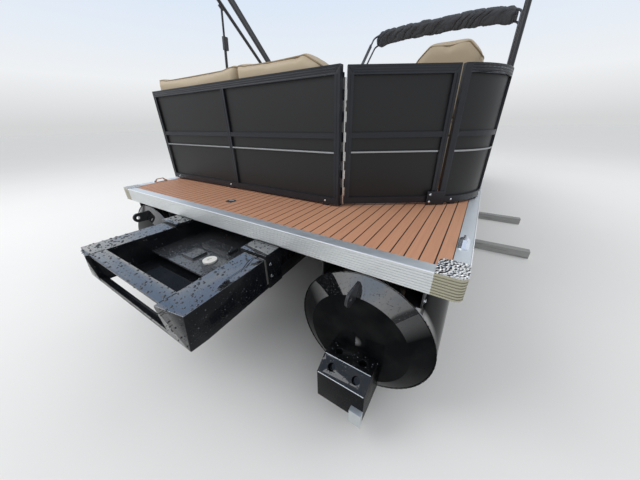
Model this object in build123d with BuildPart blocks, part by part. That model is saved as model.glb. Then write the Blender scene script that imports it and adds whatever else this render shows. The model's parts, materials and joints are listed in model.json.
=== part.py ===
from build123d import *
import math
import os

# Pontoon boat standing on ground beams: two black tubes carry a timber-look deck with a
# fence of black panels, a bare motor pod at the stern, lounges, a helm and two folded sun
# tops. +X is starboard, +Y is the bow, +Z is up. Z = 0 is the ground under the beams.
# "Along" below is the distance forward from the deck's stern edge, and "above" is the
# height over the deck's walking surface. All sizes are in millimetres.

os.makedirs("parts", exist_ok=True)

# Deck
DECK_WIDTH = 2550
DECK_LENGTH = 6700
FLOORING = 8
DECK_BOARD = 22
EDGE_HEIGHT = 95
EDGE_DEPTH = 60
EDGE_RIBS = 8
EDGE_RIB_DEPTH = 3
EDGE_WEB = 18
CORNER_LENGTH = 105
CORNER_ACROSS = 120
CORNER_PLATE = 3
CORNER_RADIUS = 30
PLANK_PITCH = 55.2
SEAM_WIDTH = 5
SEAM_DEPTH = 2

# Pontoons
TUBE_RADIUS = 330
TUBE_SPREAD = 920
TUBE_DROP = 435
CAP_START = 10
CAP_SHOULDER = 88
CAP_RUN = 50
CAP_DOME = 10
NOSE_SETBACK = 800
NOSE_LENGTH = 850
NOSE_RISE = 150
NOSE_TIP_RADIUS = 70
KEEL_HEIGHT = 20
KEEL_WIDTH = 60
KEEL_BITE = 6
STRAKE_LENGTH = 3600
STRAKE_REACH = 34
STRAKE_HIGH = 18
STRAKE_LOW = 30

# Towing eyes on the tube caps
EYE_INSET = 20
EYE_ABOVE = -168
EYE_RADIUS = 34
EYE_HOLE = 13
EYE_THICKNESS = 12
EYE_REACH = 52

# Under the deck
MEMBER_HEIGHT = 60
MEMBER_WIDTH = 50
MEMBER_PITCH = 405
RISER_OFFSET = 230
RISER_WEB = 6
RISER_FLANGE = 55
RISER_START = 40
RISER_END_GAP = 860

# Ground beams: place along the deck and starboard end
BEAM_SECTION = 80
BEAM_OVERHANG = 1880
BEAM_INSET = 75
BEAMS = (
    # place along, starboard end
    (2260, BEAM_OVERHANG),
    (3350, BEAM_OVERHANG),
    (DECK_LENGTH - 2000, DECK_WIDTH / 2 - BEAM_INSET),
    (DECK_LENGTH - 1050, DECK_WIDTH / 2 - BEAM_INSET),
)

# Motor pod
POD_TOP = -112
POD_DEPTH = 165
POD_LENGTH = 555
POD_RAKE = 15
POD_HALF_AFT = 492
POD_HALF_FRONT = 410
POD_ARM_AFT = 150
POD_ARM_FRONT = 130
POD_REACH = 650
POD_BAR = 72
POD_BAR_SETBACK = 18
POD_FOOT_BAR = 28
POD_CUTS = (
    # three points of each cut at an arm's end: in from the side, forward of the end, depth
    ((POD_ARM_AFT, 2, 0), (2, 27, 0), (9, POD_RAKE + 1, POD_DEPTH)),
    ((2, 27, 0), (6, 81, POD_DEPTH), (9, POD_RAKE + 1, POD_DEPTH)),
)
POD_RAIL = 50
POD_RAIL_END = 40
POD_RAIL_START = 30
POD_PLATE = 10
POD_LAP = 2
POD_FLOOR_AFT = -400
POD_FLOOR_END = 60
POD_BRACKET = 8
POD_BRACKET_RUN = (-110, -8)
POD_BRACKET_REACH = 165
POD_TRAY_DROP = 95
POD_TRAY_AFT = -275
POD_TRAY_FRONT = 450
POD_PLUG = (85, -165)
POD_PLUG_RADIUS = 38
POD_PLUG_HOLE = 13
POD_PLUG_HEIGHT = 9
POD_PLATES = (
    # middle x, middle along, width, length, height
    (-60, -165, 110, 90, 12),
    (0, -40, 250, 70, 16),
)

# Stern boxes on the tube caps
BOX_WIDTH = 232
BOX_TOP = 500
BOX_FOOT = 720
BOX_AFT = 200
BOX_STEP = 130
BOX_STEP_DROP = 50
BOX_HOLE = 18
BOX_HOLE_SPREAD = 120
BOX_HOLE_DEPTH = 40
BOX_HOLE_SETBACK = 40
ANODE = (55, 24, 85)
ANODE_DROP = 12

# Fence
FENCE_HEIGHT = 722
FENCE_DEPTH = 32
FENCE_SIDE = DECK_WIDTH / 2 - 30
FENCE_STERN = 466
FENCE_PORCH = 420
FENCE_BOW = DECK_LENGTH - FENCE_PORCH
FENCE_FOOT = 12
FENCE_STILE = 32
FENCE_RADIUS = 437
FENCE_SKIN = 3
FOOT_LENGTH = 34
FOOT_INSET = 75
RAIL_HEIGHT = 42
BAND = (327, 355)
TRIM = (248, 258)
RAILS = (
    # low, high, full depth
    (FENCE_FOOT, FENCE_FOOT + 40, True),
    (TRIM[0], TRIM[1], False),
    (BAND[0], BAND[1], False),
    (FENCE_HEIGHT - RAIL_HEIGHT, FENCE_HEIGHT, True),
)
FLUTES = 3
FLUTE_WIDTH = 4
FLUTE_DEPTH = 2
FLUTE_PITCH = 11
MITRE_WIDTH = 1.6

# Gates and their hinges
GATE_GAP = 10
LATCH_GAP = 10
KNUCKLE_RADIUS = 5
KNUCKLE_GAP = 0.3
KNUCKLE_LOW = 15
KNUCKLE_HIGH = 670
KNUCKLES = 13
LEAF = 3
STERN_PANEL_END = 545
STERN_HINGE = (555, 490)
STERN_POST_DEPTH = 16
STERN_POST_SHORT = 30
STERN_GATE_ANGLE = 33
STERN_GATE_LENGTH = 565
CORNER_ALONG = 1185
CORNER_SWEEP = 57
BOW_OPENING = 720
SIDE_GATE_AFT = DECK_LENGTH - 3500
SIDE_GATE_OPENING = 670
LATCH = (70, 30, 16)
LATCH_ABOVE = 560

# Lounges
SEAT_HEIGHT = 360
CUSHION = 120
BACK_TOP = 700
BACK_DEPTH = 130
LOUNGE_DEPTH = 600
LOUNGE_GAP = 12
SOFT_GAP = 0.5
PLINTH_HEIGHT = 70
PLINTH_INSET = 45
BASE_RADIUS = 20
SOFT_RADIUS = 25
STERN_LOUNGE_END = 420
STERN_BACK_TOP = 815
STERN_BACK_SEAM = -250
STERN_BACK_PEAK = 300
STERN_BACK_LOW = 745
PORT_LOUNGE_FRONT = SIDE_GATE_AFT - 15
CHAISE_START = 1290
CHAISE_LENGTH = 1040
CHAISE_BACK = 170
CHAISE_TOP = 925
CHAISE_SHOULDER = 90
CHAISE_INSET = 60
BOW_LOUNGE_GAP = 330
BOW_LOUNGE_LENGTH = 1450
BOW_BACK = 146

# Helm
HELM_X = 820
SEAT_ALONG = 2740
CONSOLE_ALONG = 3170
CONSOLE_DEPTH = 520
CONSOLE_WIDTH = 640
CONSOLE_HEIGHT = 930
DASH_RUN = 130
DASH_LOW = 620
DASH_HIGH = 845
HOOD_RUN = 180
NOSE_DROP = 150
NOSE_RUN = 60
SCREEN_HEIGHT = 120
SCREEN_THICKNESS = 10
WHEEL_RADIUS = 175
WHEEL_TUBE = 13
WHEEL_STAND = 95
WHEEL_SPOKE = 34
WHEEL_HUB = 28
SHAFT_RADIUS = 12
HUB_RADIUS = 42
HUB_HEIGHT = 46
PEDESTAL = 300
PEDESTAL_RADIUS = 45
PEDESTAL_FOOT = 150
SHELL_WIDTH = 420
SHELL_LENGTH = 400
SHELL_THICKNESS = 60
SHELL_BACK = 480
PAD_WIDTH = 460
PAD_TOP = 180
BACKREST_TOP = 560

# Sun tops
BIMINI_X = DECK_WIDTH / 2 - 32
BIMINI_LENGTH = 1985
BIMINI_PIVOT = 36
BIMINI_ARM = (62, 28)
BIMINI_ARM_GROOVE = 3
BIMINI_BOW = 32
BIMINI_CORNER = 130
BIMINI_CROWN = 140
BIMINI_SHOULDER = (950, 30)
BIMINI_FLAT = 350
BIMINI_FAN = 2
BIMINI_OFFSET = 105
FORK_PLACE = 300
BOOT_THICKNESS = 205
BOOT_MARGIN = 115
BOOT_END = 35
REST_GAP = 0.3
STRUT_HEAD = 70
STRUT_RADIUS = 13
CLAMP = (34, 52, 110)
CLAMP_ABOVE = 480
BIMINIS = (
    # name, pivot along, lean, direction along the boat, strut foot along
    ("aft", 2318, 43, -1, 1240),
    ("forward", DECK_LENGTH - 2770, 44, 1, DECK_LENGTH - 1690),
)

# Worked out
NOSE_START = DECK_LENGTH - NOSE_SETBACK
STERN = (POD_LENGTH - NOSE_START - NOSE_LENGTH) / 2
TUBE_CENTRE = BEAM_SECTION + KEEL_HEIGHT + TUBE_RADIUS
DECK_TOP = TUBE_CENTRE + TUBE_DROP
HALF_WIDTH = DECK_WIDTH / 2
UP = Vector(0, 0, 1)


def y_at(along):
    """Y of a place given by its distance forward from the stern edge."""
    return STERN + along


def z_at(above):
    """Z of a height given over the walking surface."""
    return DECK_TOP + above


def save(name, shape):
    """Labels a finished piece and writes its file."""
    shape.label = name
    export_step(shape, f"parts/{name}.step")


def fence_plane(start, direction):
    """Plane of a fence run: X along it, Y up and Z outwards, its origin on the deck."""
    heading = Vector(direction[0], direction[1], 0).normalized()
    return Plane(
        origin=(start[0], y_at(start[1]), DECK_TOP),
        x_dir=heading,
        z_dir=heading.cross(UP),
    )


def straight_panel(plane, length, bays, feet=True):
    """Frame and skin of a straight fence panel, as two lists of solids."""
    bay = (length - FENCE_STILE) / bays
    posts = [FENCE_STILE / 2 + post * bay for post in range(bays + 1)]
    low, high = RAILS[0][1], RAILS[-1][0]
    with BuildPart() as frame:
        with BuildSketch(plane.offset(-FENCE_DEPTH / 2)):
            for bottom, top, full in RAILS:
                if full:
                    with Locations((length / 2, (bottom + top) / 2)):
                        Rectangle(length, top - bottom)
            for post in posts:
                with Locations((post, FENCE_HEIGHT / 2)):
                    Rectangle(FENCE_STILE, FENCE_HEIGHT - 2 * FENCE_FOOT)
            if feet:
                for post in posts:
                    inset = FOOT_INSET if post < length / 2 else -FOOT_INSET
                    with Locations((post + inset, FENCE_FOOT / 2)):
                        Rectangle(FOOT_LENGTH, FENCE_FOOT)
        extrude(amount=FENCE_DEPTH)
        with BuildSketch(plane.offset(FENCE_SKIN / 2)):
            for bottom, top, full in RAILS:
                if not full:
                    with Locations((length / 2, (bottom + top) / 2)):
                        Rectangle(length, top - bottom)
        extrude(amount=(FENCE_DEPTH - FENCE_SKIN) / 2 - FLUTE_DEPTH)
        with BuildSketch(plane.offset(FENCE_DEPTH / 2)):
            for flute in range(FLUTES):
                with Locations((length / 2, FENCE_HEIGHT - (flute + 1) * FLUTE_PITCH)):
                    Rectangle(length - 2 * FENCE_STILE, FLUTE_WIDTH)
            for post in posts:
                with Locations((post, (low + high) / 2)):
                    Rectangle(FLUTE_WIDTH, high - low)
            mitre = math.degrees(math.atan2(RAIL_HEIGHT, FENCE_STILE))
            for end, turn in ((FENCE_STILE / 2, -mitre), (length - FENCE_STILE / 2, mitre)):
                with Locations(Location((end, FENCE_HEIGHT - RAIL_HEIGHT / 2, 0), (0, 0, turn))):
                    Rectangle(math.hypot(RAIL_HEIGHT, FENCE_STILE) - 2 * FLUTE_PITCH, MITRE_WIDTH)
        extrude(amount=-FLUTE_DEPTH, mode=Mode.SUBTRACT)
    with BuildPart() as skin:
        with BuildSketch(plane.offset(-FENCE_SKIN / 2)):
            for panel in range(bays):
                middle = FENCE_STILE / 2 + (panel + 0.5) * bay
                with Locations((middle, (low + high) / 2)):
                    Rectangle(bay - FENCE_STILE, high - low)
        extrude(amount=FENCE_SKIN)
    return frame.part.solids(), skin.part.solids()


def ring_sector(centre, inner, outer, start, sweep):
    """Flat face between two arcs, for a curved rail seen from above."""
    with BuildSketch(Plane.XY) as sector:
        with BuildLine():
            far = CenterArc(centre, outer, start, sweep)
            near = CenterArc(centre, inner, start, sweep)
            Line(far @ 0, near @ 0)
            Line(far @ 1, near @ 1)
        make_face()
    return sector.sketch


def curved_panel(centre, start, sweep):
    """Frame and skin of a curved corner panel about an upright axis."""
    middle = (centre[0], y_at(centre[1]))
    half = FENCE_DEPTH / 2
    stile = math.degrees(FENCE_STILE / FENCE_RADIUS)
    inset = math.degrees(FOOT_INSET / FENCE_RADIUS)
    foot = math.degrees(FOOT_LENGTH / FENCE_RADIUS)
    low, high = RAILS[0][1], RAILS[-1][0]
    inner, outer = FENCE_RADIUS - half, FENCE_RADIUS + half
    with BuildPart() as frame:
        for bottom, top, full in RAILS:
            rail_inner = inner if full else FENCE_RADIUS + FENCE_SKIN / 2
            rail_outer = outer if full else outer - FLUTE_DEPTH
            with BuildSketch(Plane.XY.offset(z_at(bottom))):
                add(ring_sector(middle, rail_inner, rail_outer, start, sweep))
            extrude(amount=top - bottom)
        for angle in (start, start + sweep - stile):
            with BuildSketch(Plane.XY.offset(z_at(FENCE_FOOT))):
                add(ring_sector(middle, inner, outer, angle, stile))
            extrude(amount=FENCE_HEIGHT - FENCE_FOOT)
        for angle in (start + inset, start + sweep - inset - foot):
            with BuildSketch(Plane.XY.offset(z_at(0))):
                add(ring_sector(middle, inner, outer, angle, foot))
            extrude(amount=FENCE_FOOT)
        for flute in range(FLUTES):
            level = FENCE_HEIGHT - (flute + 1) * FLUTE_PITCH - FLUTE_WIDTH / 2
            groove = ring_sector(
                middle, outer - FLUTE_DEPTH, outer + FLUTE_DEPTH, start + stile, sweep - 2 * stile
            )
            with BuildSketch(Plane.XY.offset(z_at(level))):
                add(groove)
            extrude(amount=FLUTE_WIDTH, mode=Mode.SUBTRACT)
    with BuildPart() as skin:
        with BuildSketch(Plane.XY.offset(z_at(low))):
            skin_face = ring_sector(
                middle,
                FENCE_RADIUS - FENCE_SKIN / 2,
                FENCE_RADIUS + FENCE_SKIN / 2,
                start + stile,
                sweep - 2 * stile,
            )
            add(skin_face)
        extrude(amount=high - low)
    return frame.part.solids(), skin.part.solids()


def hinge_half(plane, pin, reach, odd):
    """Knuckles and leaf of one half of a long hinge; reach runs from the pin to its post."""
    height = (KNUCKLE_HIGH - KNUCKLE_LOW) / KNUCKLES - KNUCKLE_GAP
    with BuildPart() as half:
        for step in range(KNUCKLES):
            if step % 2 == odd:
                low = KNUCKLE_LOW + step * (height + KNUCKLE_GAP)
                base = Plane(origin=plane.from_local_coords(Vector(0, low, pin)), z_dir=UP)
                with BuildSketch(base):
                    Circle(KNUCKLE_RADIUS)
                extrude(amount=height)
                with BuildSketch(plane.offset(pin - LEAF / 2)):
                    with Locations((reach / 2, low + height / 2)):
                        Rectangle(abs(reach), height)
                extrude(amount=LEAF)
    return half.part.solids()


# Pontoons: tube with a stern cap on a conical shoulder, a raked nose, keel strip and strakes

TUBE_RUN = NOSE_START - CAP_START
CAP_FACE = TUBE_RADIUS - CAP_SHOULDER
NOSE_SECTIONS = (
    # share of the nose's length, share of the tube's radius, share of the rise
    (0, 1, 0),
    (0.3, 0.94, 0.1),
    (0.65, 0.7, 0.45),
    (1, NOSE_TIP_RADIUS / TUBE_RADIUS, 1),
)

pontoons = []
for side, sign in (("starboard", 1), ("port", -1)):
    tube_x = sign * TUBE_SPREAD
    tube_plane = Plane(origin=(tube_x, y_at(CAP_START), TUBE_CENTRE), z_dir=(0, 1, 0))
    side_view = Plane(
        origin=(tube_x, y_at(CAP_START), TUBE_CENTRE), x_dir=(0, -1, 0), z_dir=(-1, 0, 0)
    )
    with BuildPart() as pontoon:
        with BuildSketch(tube_plane):
            Circle(TUBE_RADIUS)
        extrude(amount=TUBE_RUN)
        with BuildSketch(side_view):
            with BuildLine():
                shoulder = Line((0, TUBE_RADIUS), (CAP_RUN, CAP_FACE))
                dish = RadiusArc(
                    shoulder @ 1,
                    (CAP_RUN + CAP_DOME, 0),
                    (CAP_FACE**2 + CAP_DOME**2) / (2 * CAP_DOME),
                )
                Polyline(dish @ 1, (0, 0), shoulder @ 0)
            make_face()
        revolve(axis=Axis((tube_x, y_at(CAP_START), TUBE_CENTRE), (0, 1, 0)))
        for part_length, radius_share, rise_share in NOSE_SECTIONS:
            nose_plane = Plane(
                origin=(
                    tube_x,
                    y_at(NOSE_START + NOSE_LENGTH * part_length),
                    TUBE_CENTRE + NOSE_RISE * rise_share,
                ),
                z_dir=(0, 1, 0),
            )
            with BuildSketch(nose_plane):
                Circle(TUBE_RADIUS * radius_share)
        loft(ruled=True)
        with BuildSketch(Plane.XY.offset(BEAM_SECTION)):
            with Locations((tube_x, y_at(CAP_START + TUBE_RUN / 2))):
                Rectangle(KEEL_WIDTH, TUBE_RUN)
        extrude(amount=KEEL_HEIGHT + KEEL_BITE)
        strake_plane = Plane(
            origin=(tube_x, y_at(NOSE_START), TUBE_CENTRE), x_dir=(1, 0, 0), z_dir=(0, -1, 0)
        )
        with BuildSketch(strake_plane):
            for hand in (-1, 1):
                high, low = math.radians(-STRAKE_HIGH), math.radians(-STRAKE_LOW)
                bite, tip = TUBE_RADIUS - KEEL_BITE, TUBE_RADIUS + STRAKE_REACH
                with BuildLine():
                    Polyline(
                        (hand * bite * math.cos(high), bite * math.sin(high)),
                        (hand * tip * math.cos(low), tip * math.sin(low)),
                        (hand * bite * math.cos(low), bite * math.sin(low)),
                        close=True,
                    )
                make_face()
        extrude(amount=STRAKE_LENGTH)
    save(f"{side}_pontoon", pontoon.part)
    pontoons.append(pontoon.part)

# Towing eyes: a rounded lug with a hole, standing aft from each cap

with BuildPart() as stern_eyes:
    for sign in (-1, 1):
        lug_plane = Plane(
            origin=(sign * (TUBE_SPREAD - EYE_INSET) - EYE_THICKNESS / 2, 0, 0),
            x_dir=(0, 1, 0),
            z_dir=(1, 0, 0),
        )
        eye_along = CAP_START - CAP_RUN - EYE_REACH
        with BuildSketch(lug_plane):
            with Locations((y_at(eye_along), z_at(EYE_ABOVE))):
                Circle(EYE_RADIUS)
            with Locations((y_at(eye_along + EYE_REACH), z_at(EYE_ABOVE))):
                Rectangle(2 * EYE_REACH, 2 * EYE_RADIUS)
            with Locations((y_at(eye_along), z_at(EYE_ABOVE))):
                Circle(EYE_HOLE, mode=Mode.SUBTRACT)
        extrude(amount=EYE_THICKNESS)
    add(pontoons, mode=Mode.SUBTRACT)
save("stern_eyes", stern_eyes.part)

# Risers: angles that join each tube to the cross-members

RISER_TOP = z_at(-FLOORING - DECK_BOARD - MEMBER_HEIGHT)
RISER_RUN = DECK_LENGTH - RISER_START - RISER_END_GAP

with BuildPart() as risers:
    for tube_x in (-TUBE_SPREAD, TUBE_SPREAD):
        with BuildSketch(Plane(origin=(0, y_at(RISER_START), 0), x_dir=(1, 0, 0), z_dir=(0, -1, 0))):
            for side in (-1, 1):
                web_x = tube_x + side * RISER_OFFSET
                with Locations((web_x, (TUBE_CENTRE + RISER_TOP) / 2)):
                    Rectangle(RISER_WEB, RISER_TOP - TUBE_CENTRE)
                flange_x = web_x + side * (RISER_FLANGE - RISER_WEB) / 2
                with Locations((flange_x, RISER_TOP - RISER_WEB / 2)):
                    Rectangle(RISER_FLANGE, RISER_WEB)
            with Locations((tube_x, TUBE_CENTRE)):
                Circle(TUBE_RADIUS, mode=Mode.SUBTRACT)
        extrude(amount=-RISER_RUN)
save("risers", risers.part)

# Cross-members under the deck board

MEMBER_COUNT = int((DECK_LENGTH - 2 * EDGE_DEPTH - MEMBER_WIDTH) // MEMBER_PITCH) + 1
MEMBER_LENGTH = DECK_WIDTH - 2 * EDGE_WEB

with BuildPart() as cross_members:
    with BuildSketch(Plane.XY.offset(RISER_TOP)):
        for index in range(MEMBER_COUNT):
            along = EDGE_DEPTH + MEMBER_WIDTH / 2 + index * MEMBER_PITCH
            with Locations((0, y_at(along))):
                Rectangle(MEMBER_LENGTH, MEMBER_WIDTH)
    extrude(amount=MEMBER_HEIGHT)
save("cross_members", cross_members.part)

# Deck board

BOARD_HALF = HALF_WIDTH - EDGE_WEB

with BuildPart() as deck_board:
    with BuildSketch(Plane.XY.offset(z_at(-FLOORING - DECK_BOARD))):
        with Locations((0, y_at(DECK_LENGTH / 2))):
            Rectangle(2 * BOARD_HALF, DECK_LENGTH - 2 * EDGE_WEB)
    extrude(amount=DECK_BOARD)
save("deck_board", deck_board.part)

# Timber-look flooring with a seam between planks

FLOOR_HALF = HALF_WIDTH - EDGE_DEPTH
FLOOR_LENGTH = DECK_LENGTH - 2 * EDGE_DEPTH
SEAM_COUNT = 2 * int(FLOOR_HALF // PLANK_PITCH) + 1

with BuildPart() as flooring:
    with BuildSketch(Plane.XY.offset(z_at(-FLOORING))):
        with Locations((0, y_at(DECK_LENGTH / 2))):
            Rectangle(2 * FLOOR_HALF, FLOOR_LENGTH)
    extrude(amount=FLOORING)
    with BuildSketch(Plane.XY.offset(z_at(0))):
        with Locations((0, y_at(DECK_LENGTH / 2))):
            with GridLocations(PLANK_PITCH, 0, SEAM_COUNT, 1):
                Rectangle(SEAM_WIDTH, FLOOR_LENGTH)
    extrude(amount=-SEAM_DEPTH, mode=Mode.SUBTRACT)
save("flooring", flooring.part)


def edge_section():
    """Ribbed edge profile in its own plane: X outwards from the deck, Y up from its foot."""
    pitch = EDGE_HEIGHT / EDGE_RIBS
    web = EDGE_WEB - EDGE_RIB_DEPTH
    with Locations((-EDGE_WEB + web / 2, EDGE_HEIGHT / 2)):
        Rectangle(web, EDGE_HEIGHT)
    for rib in range(EDGE_RIBS):
        with Locations((-EDGE_RIB_DEPTH / 2, (rib + 0.5) * pitch)):
            Rectangle(EDGE_RIB_DEPTH, pitch * 0.6)
    with Locations((-EDGE_DEPTH / 2 - EDGE_RIB_DEPTH / 2, EDGE_HEIGHT - FLOORING / 2)):
        Rectangle(EDGE_DEPTH - EDGE_RIB_DEPTH, FLOORING)


# Ribbed edge profiles on the four sides, between the corner castings

SIDE_RUN = DECK_LENGTH - 2 * CORNER_ACROSS
END_RUN = DECK_WIDTH - 2 * CORNER_LENGTH
EDGES = (
    # middle x, middle along, heading of the run, length
    (HALF_WIDTH, DECK_LENGTH / 2, (0, 1, 0), SIDE_RUN),
    (-HALF_WIDTH, DECK_LENGTH / 2, (0, -1, 0), SIDE_RUN),
    (0, 0, (1, 0, 0), END_RUN),
    (0, DECK_LENGTH, (-1, 0, 0), END_RUN),
)

with BuildPart() as edge_profiles:
    for x, along, heading, run in EDGES:
        outward = Vector(*heading).cross(UP)
        section = Plane(
            origin=(x, y_at(along), z_at(-EDGE_HEIGHT)), x_dir=outward, z_dir=outward.cross(UP)
        )
        with BuildSketch(section.offset(-run / 2)):
            edge_section()
        extrude(amount=run)
save("edge_profiles", edge_profiles.part)

# Corner castings: ribs that wrap the rounded corner, under a textured plate


def corner_block(corner, hand, inset, deep_x, deep_y):
    """Plan of a corner piece: a bent strip whose outer faces lie inset from the deck's edges."""
    x_sign, y_sign = hand
    radius = CORNER_RADIUS - inset
    outer = (corner[0] - x_sign * inset, corner[1] + y_sign * inset)
    with BuildSketch(Plane.XY) as plan:
        with BuildLine():
            Polyline(
                (corner[0] - x_sign * CORNER_LENGTH, outer[1]),
                outer,
                (outer[0], corner[1] + y_sign * CORNER_ACROSS),
                (corner[0] - x_sign * deep_x, corner[1] + y_sign * CORNER_ACROSS),
                (corner[0] - x_sign * deep_x, corner[1] + y_sign * deep_y),
                (corner[0] - x_sign * CORNER_LENGTH, corner[1] + y_sign * deep_y),
                close=True,
            )
        make_face()
        tip = plan.vertices().sort_by_distance((outer[0], outer[1], 0))[0]
        fillet(tip, radius)
    return plan.sketch


with BuildPart() as corner_castings:
    for x_sign in (-1, 1):
        for along, y_sign in ((0, 1), (DECK_LENGTH, -1)):
            corner = (x_sign * HALF_WIDTH, y_at(along))
            hand = (x_sign, y_sign)
            with BuildSketch(Plane.XY.offset(z_at(-EDGE_HEIGHT))):
                add(corner_block(corner, hand, EDGE_RIB_DEPTH, EDGE_WEB, EDGE_WEB))
            extrude(amount=EDGE_HEIGHT)
            pitch = EDGE_HEIGHT / EDGE_RIBS
            for rib in range(EDGE_RIBS):
                with BuildSketch(Plane.XY.offset(z_at(-EDGE_HEIGHT + (rib + 0.2) * pitch))):
                    add(corner_block(corner, hand, 0, EDGE_WEB, EDGE_WEB))
                extrude(amount=pitch * 0.6)
            with BuildSketch(Plane.XY.offset(z_at(-FLOORING))):
                add(corner_block(corner, hand, 0, EDGE_DEPTH, EDGE_DEPTH))
            extrude(amount=FLOORING)
            with BuildSketch(Plane.XY.offset(z_at(0))):
                with Locations(
                    (corner[0] - x_sign * CORNER_LENGTH / 2, corner[1] + y_sign * CORNER_ACROSS / 2)
                ):
                    RectangleRounded(CORNER_LENGTH, CORNER_ACROSS, CORNER_RADIUS)
            extrude(amount=CORNER_PLATE)
save("corner_castings", corner_castings.part)

# Mooring cleats: a low arch on an oval base, on the side edges near each corner

CLEAT_ALONG = (292, DECK_LENGTH - 500)
CLEAT_INSET = 37
CLEAT_LENGTH = 126
CLEAT_WIDTH = 42
CLEAT_BASE = 5
CLEAT_ARCH = 30
CLEAT_BAR = 14

with BuildPart() as cleats:
    for x_sign in (-1, 1):
        for along in CLEAT_ALONG:
            spot = (x_sign * (HALF_WIDTH - CLEAT_INSET), y_at(along))
            with BuildSketch(Plane.XY.offset(z_at(0))):
                with Locations(spot):
                    RectangleRounded(CLEAT_WIDTH, CLEAT_LENGTH, CLEAT_WIDTH / 2 - 1)
            extrude(amount=CLEAT_BASE)
            arch_plane = Plane(
                origin=(spot[0] - CLEAT_BAR / 2, spot[1], z_at(0)), x_dir=(0, 1, 0), z_dir=(1, 0, 0)
            )
            half_arch = CLEAT_LENGTH / 2 - CLEAT_BASE
            with BuildSketch(arch_plane):
                with BuildLine():
                    Polyline(
                        (-half_arch, CLEAT_BASE),
                        (-half_arch + CLEAT_ARCH, CLEAT_ARCH),
                        (half_arch - CLEAT_ARCH, CLEAT_ARCH),
                        (half_arch, CLEAT_BASE),
                        (half_arch - CLEAT_BAR * 1.5, CLEAT_BASE),
                        (half_arch - CLEAT_ARCH - CLEAT_BASE, CLEAT_ARCH - CLEAT_BAR / 2),
                        (-half_arch + CLEAT_ARCH + CLEAT_BASE, CLEAT_ARCH - CLEAT_BAR / 2),
                        (-half_arch + CLEAT_BAR * 1.5, CLEAT_BASE),
                        close=True,
                    )
                make_face()
            extrude(amount=CLEAT_BAR)
save("cleats", cleats.part)

# Round deck fitting near the stern edge: a ring with a recessed middle

FITTING = (-139, 202)
FITTING_RADIUS = 34
FITTING_RECESS = 22
FITTING_HEIGHT = 2.5

with BuildPart() as deck_fitting:
    with BuildSketch(Plane.XY.offset(z_at(0))):
        with Locations((FITTING[0], y_at(FITTING[1]))):
            Circle(FITTING_RADIUS)
    extrude(amount=FITTING_HEIGHT)
    with BuildSketch(Plane.XY.offset(z_at(FITTING_HEIGHT))):
        with Locations((FITTING[0], y_at(FITTING[1]))):
            Circle(FITTING_RECESS)
    extrude(amount=-FITTING_HEIGHT / 2, mode=Mode.SUBTRACT)
save("deck_fitting", deck_fitting.part)

# Motor pod: a deep U of two box arms with a crosspiece and a lower bar at the stern

POD_FLOOR = POD_TOP - POD_DEPTH


def pod_share(along):
    """Share of the way from the pod's aft end to the front of its well."""
    return (along + POD_LENGTH) / (POD_LENGTH + POD_REACH - POD_ARM_FRONT)


def pod_inner(along):
    """Half-width between the pod's arms at a place along."""
    aft = POD_HALF_AFT - POD_ARM_AFT
    front = POD_HALF_FRONT - POD_ARM_FRONT
    return aft + (front - aft) * pod_share(along)


def pod_outer(along):
    """Half-width over the pod's arms at a place along."""
    share = (along + POD_LENGTH) / (POD_LENGTH + POD_REACH)
    return POD_HALF_AFT + (POD_HALF_FRONT - POD_HALF_AFT) * share


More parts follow.
